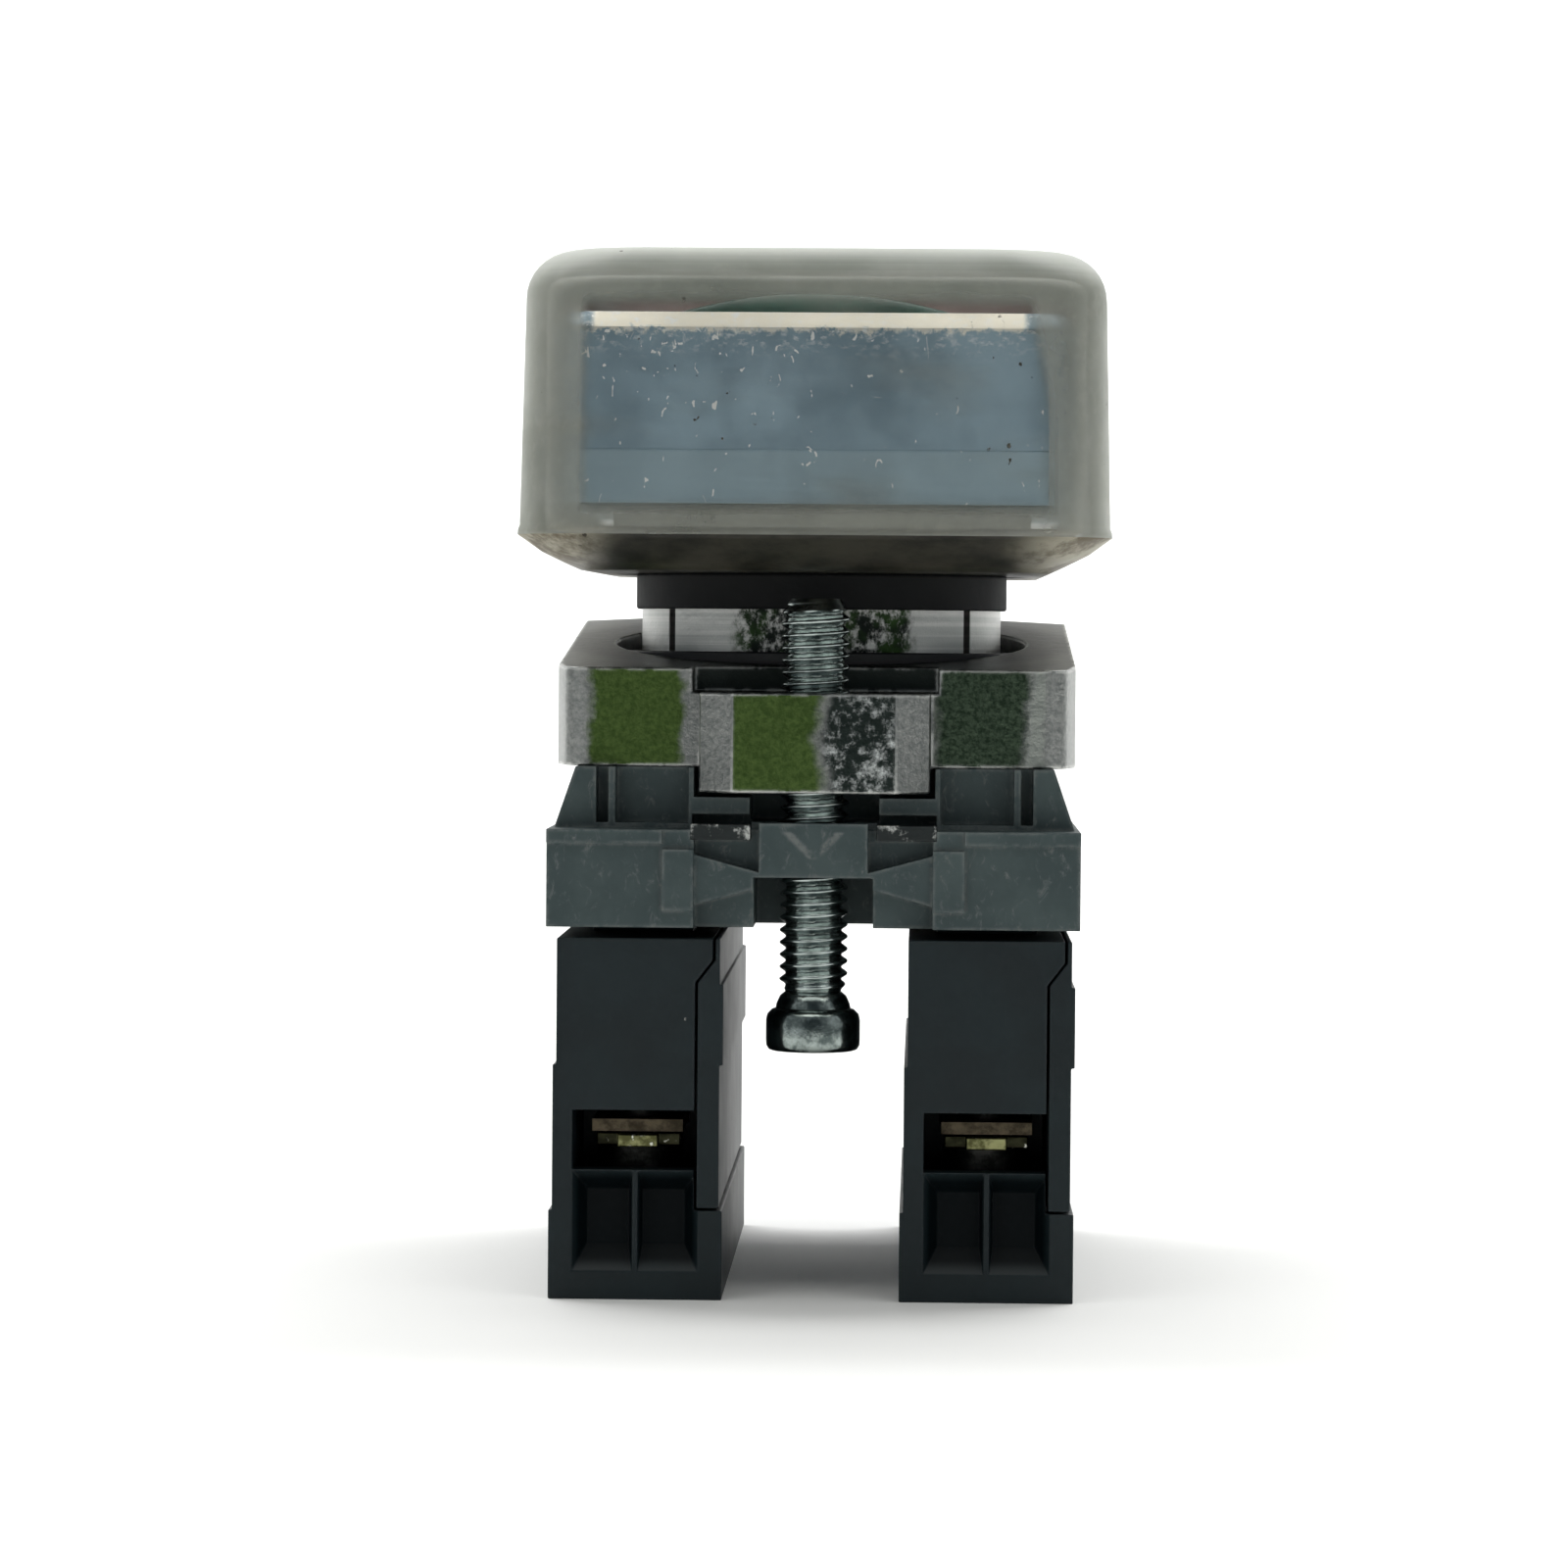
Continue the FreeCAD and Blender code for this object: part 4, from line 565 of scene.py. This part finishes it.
def refined(node, name, material, bevel, segments=3, smooth=32.0):
    """The node's solid with welded faces and its sharp edges broken by a round of bevel mm."""
    cad = NODES[node].data
    shape = bmesh.new()
    shape.from_mesh(cad)
    bmesh.ops.remove_doubles(shape, verts=shape.verts, dist=WELD)
    bmesh.ops.dissolve_limit(shape, angle_limit=FLAT_ANGLE, verts=shape.verts,
                             edges=shape.edges, delimit={"NORMAL"})
    mesh = bpy.data.meshes.new(name)
    shape.to_mesh(mesh)
    shape.free()
    piece = new_piece(name, mesh)
    mesh.shade_smooth()
    mesh.set_sharp_from_angle(angle=math.radians(smooth))
    if bevel:
        rounding = piece.modifiers.new("rounding", "BEVEL")
        rounding.width = bevel * MM
        rounding.segments = segments
        rounding.limit_method = "ANGLE"
        rounding.angle_limit = math.radians(smooth)
        rounding.use_clamp_overlap = True
        flats = piece.modifiers.new("flats", "WEIGHTED_NORMAL")
        flats.keep_sharp = True
        flats.weight = 100
    return finish_piece(piece, node, material)


def grid_mesh(name, rows):
    """A closed mesh from rows of as many points each, every row a closed loop."""
    count = len(rows[0])
    points = [p for row in rows for p in row]
    faces = []
    for r in range(len(rows) - 1):
        for c in range(count):
            d = (c + 1) % count
            faces.append((r * count + c, r * count + d, (r + 1) * count + d,
                          (r + 1) * count + c))
    faces.append(tuple(reversed(range(count))))
    last = (len(rows) - 1) * count
    faces.append(tuple(range(last, last + count)))
    mesh = bpy.data.meshes.new(name)
    mesh.from_pydata(points, [], faces)
    mesh.update()
    return mesh


def rounded_loop(half_x, half_y, corner, z):
    """Points round a rectangle with round corners, the same number for every size."""
    corner = max(min(corner, half_x - 1e-5, half_y - 1e-5), 1e-5)
    loop = []
    for turn, (sx, sy) in enumerate(((1, 1), (-1, 1), (-1, -1), (1, -1))):
        middle = Vector((sx * (half_x - corner), sy * (half_y - corner), z))
        arc = []
        for step in range(CORNER_STEPS + 1):
            angle = math.radians(90 * (turn + step / CORNER_STEPS))
            arc.append(middle + corner * Vector((math.cos(angle), math.sin(angle), 0)))
        loop.append(arc)
    points = []
    for turn in range(4):
        arc, following = loop[turn], loop[(turn + 1) % 4]
        points.extend(arc)
        for step in range(1, STRAIGHT_STEPS):
            points.append(arc[-1].lerp(following[0], step / STRAIGHT_STEPS))
    return points


def boot_profile():
    """Points up the outside as (inset from the lip's outline, height), then the flat top's inset
    and height, all in millimetres."""
    lo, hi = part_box("boot")
    top, bottom = hi.z / MM, lo.z / MM
    lip_low = bottom + LIP_RISE
    lip_high = lip_low + LIP_HEIGHT
    wall_foot = lip_high + LIP_FADE
    wall_top = top - TOP_ROUND
    profile = [(3.4, bottom), (2.6, bottom + 0.35), (1.3, bottom + 1.0), (0.35, lip_low - 0.1),
               (0.0, lip_low + 0.15), (0.02, lip_low + 0.45), (LIP_STAND, lip_high - 0.1),
               (LIP_STAND, wall_foot)]
    for step in range(1, 10):
        z = wall_foot + (wall_top - wall_foot) * step / 10
        profile.append((LIP_STAND + WALL_DRAFT * (z - lip_high), z))
    wall_inset = LIP_STAND + WALL_DRAFT * (wall_top - lip_high)
    for step in range(0, 10):
        angle = math.radians(90 * step / 9)
        profile.append((wall_inset + TOP_ROUND * (1 - math.cos(angle)),
                        wall_top + TOP_ROUND * math.sin(angle)))
    return profile, wall_inset + TOP_ROUND, top


def boot_shell():
    """The soft boot: a closed skin of outer wall, sole with a round neck, and inner wall."""
    lo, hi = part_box("boot")
    half_x, half_y = hi.x - BOOT_SLIMMING * MM, hi.y
    profile, top_inset, top = boot_profile()
    bottom = lo.z / MM
    neck = NECK_RADIUS * MM
    floor = bottom + SOLE_THICKNESS
    inner_top = top - ROOF_THICKNESS

    def round_loop(radius, z):
        """A circle with as many points as a rounded rectangle."""
        outline = rounded_loop(half_x, half_y, 5 * MM, z)
        return [Vector((radius * p.x / math.hypot(p.x, p.y),
                        radius * p.y / math.hypot(p.x, p.y), z)) for p in outline]

    def cap(half, inset_from, corner, z):
        """Loops that close a flat top towards its middle."""
        made = []
        for share in CAP_SHARES:
            inset = inset_from + (half[0] / MM - 0.5 - inset_from) * share
            made.append(rounded_loop(half[0] - inset * MM, half[1] - inset * MM,
                                     corner * (1 - 0.85 * share) * MM, z * MM))
        return made

    outside = [rounded_loop(half_x - inset * MM, half_y - inset * MM,
                            max(BOOT_CORNER - 0.3 * inset, 1) * MM, z * MM)
               for inset, z in profile]
    outside += cap((half_x, half_y), top_inset, 4.0, top)
    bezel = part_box("bezel")[1]
    inside_half = (bezel.x + BEZEL_GAP * MM, bezel.y + BEZEL_GAP * MM)
    round_foot = inner_top - INNER_ROUND
    inside = []
    for step in range(0, 8):
        z = floor + (round_foot - floor) * step / 7
        inside.append(rounded_loop(*inside_half, 3.1 * MM, z * MM))
    for step in range(1, 5):
        angle = math.radians(90 * step / 4)
        inset = INNER_ROUND * (1 - math.cos(angle)) * MM
        z = round_foot + INNER_ROUND * math.sin(angle)
        inside.append(rounded_loop(inside_half[0] - inset, inside_half[1] - inset,
                                   3.2 * MM, z * MM))
    inside += cap(inside_half, INNER_ROUND, 3.0, inner_top)
    sole = [round_loop(neck, floor * MM), round_loop(neck, bottom * MM)]
    # one strip of rows: middle of the inner top, down the inner wall, the sole's neck,
    # the underside, and up the outside to the middle of the top
    rows = list(reversed(inside)) + sole + outside
    # the outside is slightly wavy, less where a wave would carry it outwards, and still at the
    # foot and near the axis
    for row in outside:
        for point in row:
            wave = sum(noise.noise(point * scale) * height for scale, height in WAVE_SIZES)
            out = Vector((point.x / half_x, point.y / half_y, 0))
            soft = max(0.0, min(1.0, (point.z / MM - bottom) / WAVE_FADE))
            keep_in = 1.0 if wave < 0 else 0.25
            if out.length > 0.3:
                point += out.normalized() * wave * keep_in * soft * MM
    mesh = grid_mesh("boot_shell", rows)
    bm = bmesh.new()
    bm.from_mesh(mesh)
    bmesh.ops.triangulate(bm, faces=[face for face in bm.faces if len(face.verts) > 4])
    bmesh.ops.recalc_face_normals(bm, faces=bm.faces)
    bm.to_mesh(mesh)
    bm.free()
    mesh.shade_smooth()
    piece = new_piece("boot_shell", mesh)
    return finish_piece(piece, "boot", "boot_silicone")


def threaded(name, node, axis, length_marks, radii, pitch, head, material):
    """A screw about a vertical axis: head profile rows, then a V thread up the shank.

    The axis is in metres; marks, radii, pitch and head are in millimetres."""
    x, y = axis
    bottom, top = length_marks
    root, crest = radii
    around = 48
    per_pitch = 10
    root_flat, flank = 0.12, 0.72
    tip_taper = 0.15
    rows = []
    for radius, z in head:
        rows.append([Vector((x + radius * MM * math.cos(2 * math.pi * c / around),
                             y + radius * MM * math.sin(2 * math.pi * c / around), z * MM))
                     for c in range(around)])
    steps = int((top - bottom) / pitch * per_pitch)
    for step in range(steps + 1):
        z = bottom + (top - bottom) * step / steps
        fade_in = min(1.0, (z - bottom) / (0.8 * pitch))
        fade_out = min(1.0, (top - z) / (1.2 * pitch))
        row = []
        for c in range(around):
            turn = c / around
            phase = (z / pitch - turn) % 1.0
            ridge = 1 - abs(2 * phase - 1)
            ridge = max(0.0, min(1.0, (ridge - root_flat) / flank))
            radius = root + (crest - root) * ridge * fade_in
            radius = min(radius, root - tip_taper + (crest - root + tip_taper) * fade_out)
            angle = 2 * math.pi * turn
            row.append(Vector((x + radius * MM * math.cos(angle),
                               y + radius * MM * math.sin(angle), z * MM)))
        rows.append(row)
    mesh = grid_mesh(name, rows)
    mesh.shade_smooth()
    mesh.set_sharp_from_angle(angle=math.radians(50))
    piece = new_piece(name, mesh)
    return finish_piece(piece, node, material)


def clamp_screw():
    """The M4 clamp screw, head down, with its socket as the head's first rows."""
    lo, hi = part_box("clamp_screw")
    middle = (lo + hi) / 2
    base, tip = lo.z / MM, hi.z / MM
    head = [(0.3, base + 1.2), (1.5, base + 1.2), (1.5, base + 0.05), (2.35, base),
            (2.55, base + 0.08), (2.68, base + 0.3), (2.7, base + 0.6), (2.7, base + 1.75),
            (2.62, base + 2.1), (2.35, base + 2.38), (2.15, base + 2.45), (2.1, base + 2.7),
            (1.9, base + 3.15), (1.66, base + 3.35)]
    return threaded("clamp_screw_thread", "clamp_screw", (middle.x, middle.y),
                    (base + 3.4, tip), (1.6, 1.95), 0.7, head, "plated_screw")


boot_shell()
clamp_screw()
refined("bezel", "bezel_trim", "bright_metal", 0.06, 2, 25)
refined("button_separator", "separator_bar", "black_plastic", 0.2)
refined("green_button", "green_cap", "green_plastic", 0.0)
refined("red_button", "red_cap", "red_plastic", 0.0)
refined("barrel", "barrel_sleeve", "barrel_metal", 0.06)
refined("panel_sleeve", "sleeve_band", "black_rubber", 0.15)
refined("locking_ring", "lock_ring", "black_plastic", 0.1)
refined("clamp_collar", "collar_casting", "cast_zinc", 0.2)
refined("block_carrier", "carrier_moulding", "grey_plastic", 0.12)
for word in ("left", "right"):
    refined(f"{word}_clip", f"{word}_spring_clip", "spring_steel", 0.06)
    refined(f"{word}_housing", f"{word}_block_body", "block_plastic", 0.1)
    refined(f"{word}_cover", f"{word}_block_cover", "block_plastic", 0.08)
    refined(f"{word}_plunger", f"{word}_plunger_moulding", "white_plastic", 0.1)
    for end in ("near", "far"):
        refined(f"{word}_{end}_contact", f"{word}_{end}_strip", "contact_brass", 0.08)
        refined(f"{word}_{end}_clamp_plate", f"{word}_{end}_washer", "terminal_brass", 0.1)
        refined(f"{word}_{end}_terminal_screw", f"{word}_{end}_fixing", "dark_screw", 0.08)

# the CAD nodes that no new piece replaces keep their solid and get its finish
for name, node in NODES.items():
    if node.hide_render:
        continue
    node.data.materials.clear()
    node.data.materials.append(MATERIALS[SLOT_OF.get(name, "black_plastic")])

# ---------------------------------------------------------------- stage, light, camera

FLOOR_NEAR = -1.6
FLOOR_HALF_WIDTH = 1.8
BACKDROP_START = 0.35
BACKDROP_BEND = 0.25
BACKDROP_TOP = 1.6
OBJECT_CENTRE = (0, 0, 0.03)
CAMERA_PLACE = Vector((0.00614, -0.3226, 0.03808))
CAMERA_TURNS = (1.479, 1.631, 0.43)
CAMERA_LENS = 122.7


def sweep_floor():
    """A pale floor that curves up into a backdrop behind the object."""
    profile = [(FLOOR_NEAR, 0.0), (BACKDROP_START, 0.0)]
    for step in range(1, 13):
        angle = math.radians(90 * step / 12)
        profile.append((BACKDROP_START + BACKDROP_BEND * math.sin(angle),
                        BACKDROP_BEND * (1 - math.cos(angle))))
    profile.append((BACKDROP_START + BACKDROP_BEND, BACKDROP_TOP))
    rows = [[(-FLOOR_HALF_WIDTH, y, z), (FLOOR_HALF_WIDTH, y, z)] for y, z in profile]
    points = [p for row in rows for p in row]
    faces = [(2 * r, 2 * r + 1, 2 * r + 3, 2 * r + 2) for r in range(len(rows) - 1)]
    mesh = bpy.data.meshes.new("floor")
    mesh.from_pydata(points, [], faces)
    mesh.shade_smooth()
    floor = new_piece("floor", mesh)
    paper = bpy.data.materials.new("paper")
    paper.use_nodes = True
    shader = paper.node_tree.nodes["Principled BSDF"]
    shader.inputs["Base Color"].default_value = (0.88, 0.88, 0.87, 1)
    shader.inputs["Roughness"].default_value = 0.9
    mesh.materials.append(paper)


def lamp(name, place, aim, size, power, colour=(1, 1, 1)):
    """A rectangular area light at a place, turned towards aim."""
    light = bpy.data.lights.new(name, "AREA")
    light.shape = "RECTANGLE"
    light.size, light.size_y = size
    light.energy = power
    light.color = colour
    holder = bpy.data.objects.new(name, light)
    bpy.context.scene.collection.objects.link(holder)
    holder.location = place
    direction = Vector(aim) - Vector(place)
    holder.rotation_mode = "QUATERNION"
    holder.rotation_quaternion = direction.to_track_quat("-Z", "Y")


def studio():
    """A dim bluish sky, a large lamp overhead, one from each front side, and one on the
    backdrop."""
    world = bpy.data.worlds.new("studio")
    bpy.context.scene.world = world
    world.use_nodes = True
    sky = world.node_tree.nodes["Background"]
    sky.inputs["Color"].default_value = (0.72, 0.84, 0.92, 1)
    sky.inputs["Strength"].default_value = 0.17
    lamp("overhead", (0.0, -0.10, 0.55), OBJECT_CENTRE, (0.7, 0.5), 1.9, (1.0, 0.98, 0.93))
    lamp("left_front", (-0.50, -0.40, 0.24), OBJECT_CENTRE, (0.75, 0.60), 0.5)
    lamp("right_front", (0.50, -0.38, 0.26), OBJECT_CENTRE, (0.75, 0.60), 0.4)
    lamp("backdrop", (0, 0.28, 0.75), (0, 0.62, 0.05), (1.4, 0.25), 9.0)
    bpy.context.scene.view_settings.view_transform = "Standard"


def camera():
    """The view along the head's long axis, a little from above and from the right."""
    yaw, pitch, roll = (math.radians(turn) for turn in CAMERA_TURNS)
    ahead = Vector((-math.sin(yaw) * math.cos(pitch), math.cos(yaw) * math.cos(pitch),
                    -math.sin(pitch)))
    lens = bpy.data.cameras.new("camera")
    lens.sensor_width = 36.0
    lens.lens = CAMERA_LENS
    lens.clip_start = 0.01
    holder = bpy.data.objects.new("camera", lens)
    bpy.context.scene.collection.objects.link(holder)
    holder.location = CAMERA_PLACE
    holder.rotation_mode = "QUATERNION"
    upright = ahead.to_track_quat("-Z", "Y")
    holder.rotation_quaternion = upright @ Quaternion((0, 0, 1), roll)
    bpy.context.scene.camera = holder


sweep_floor()
studio()
camera()
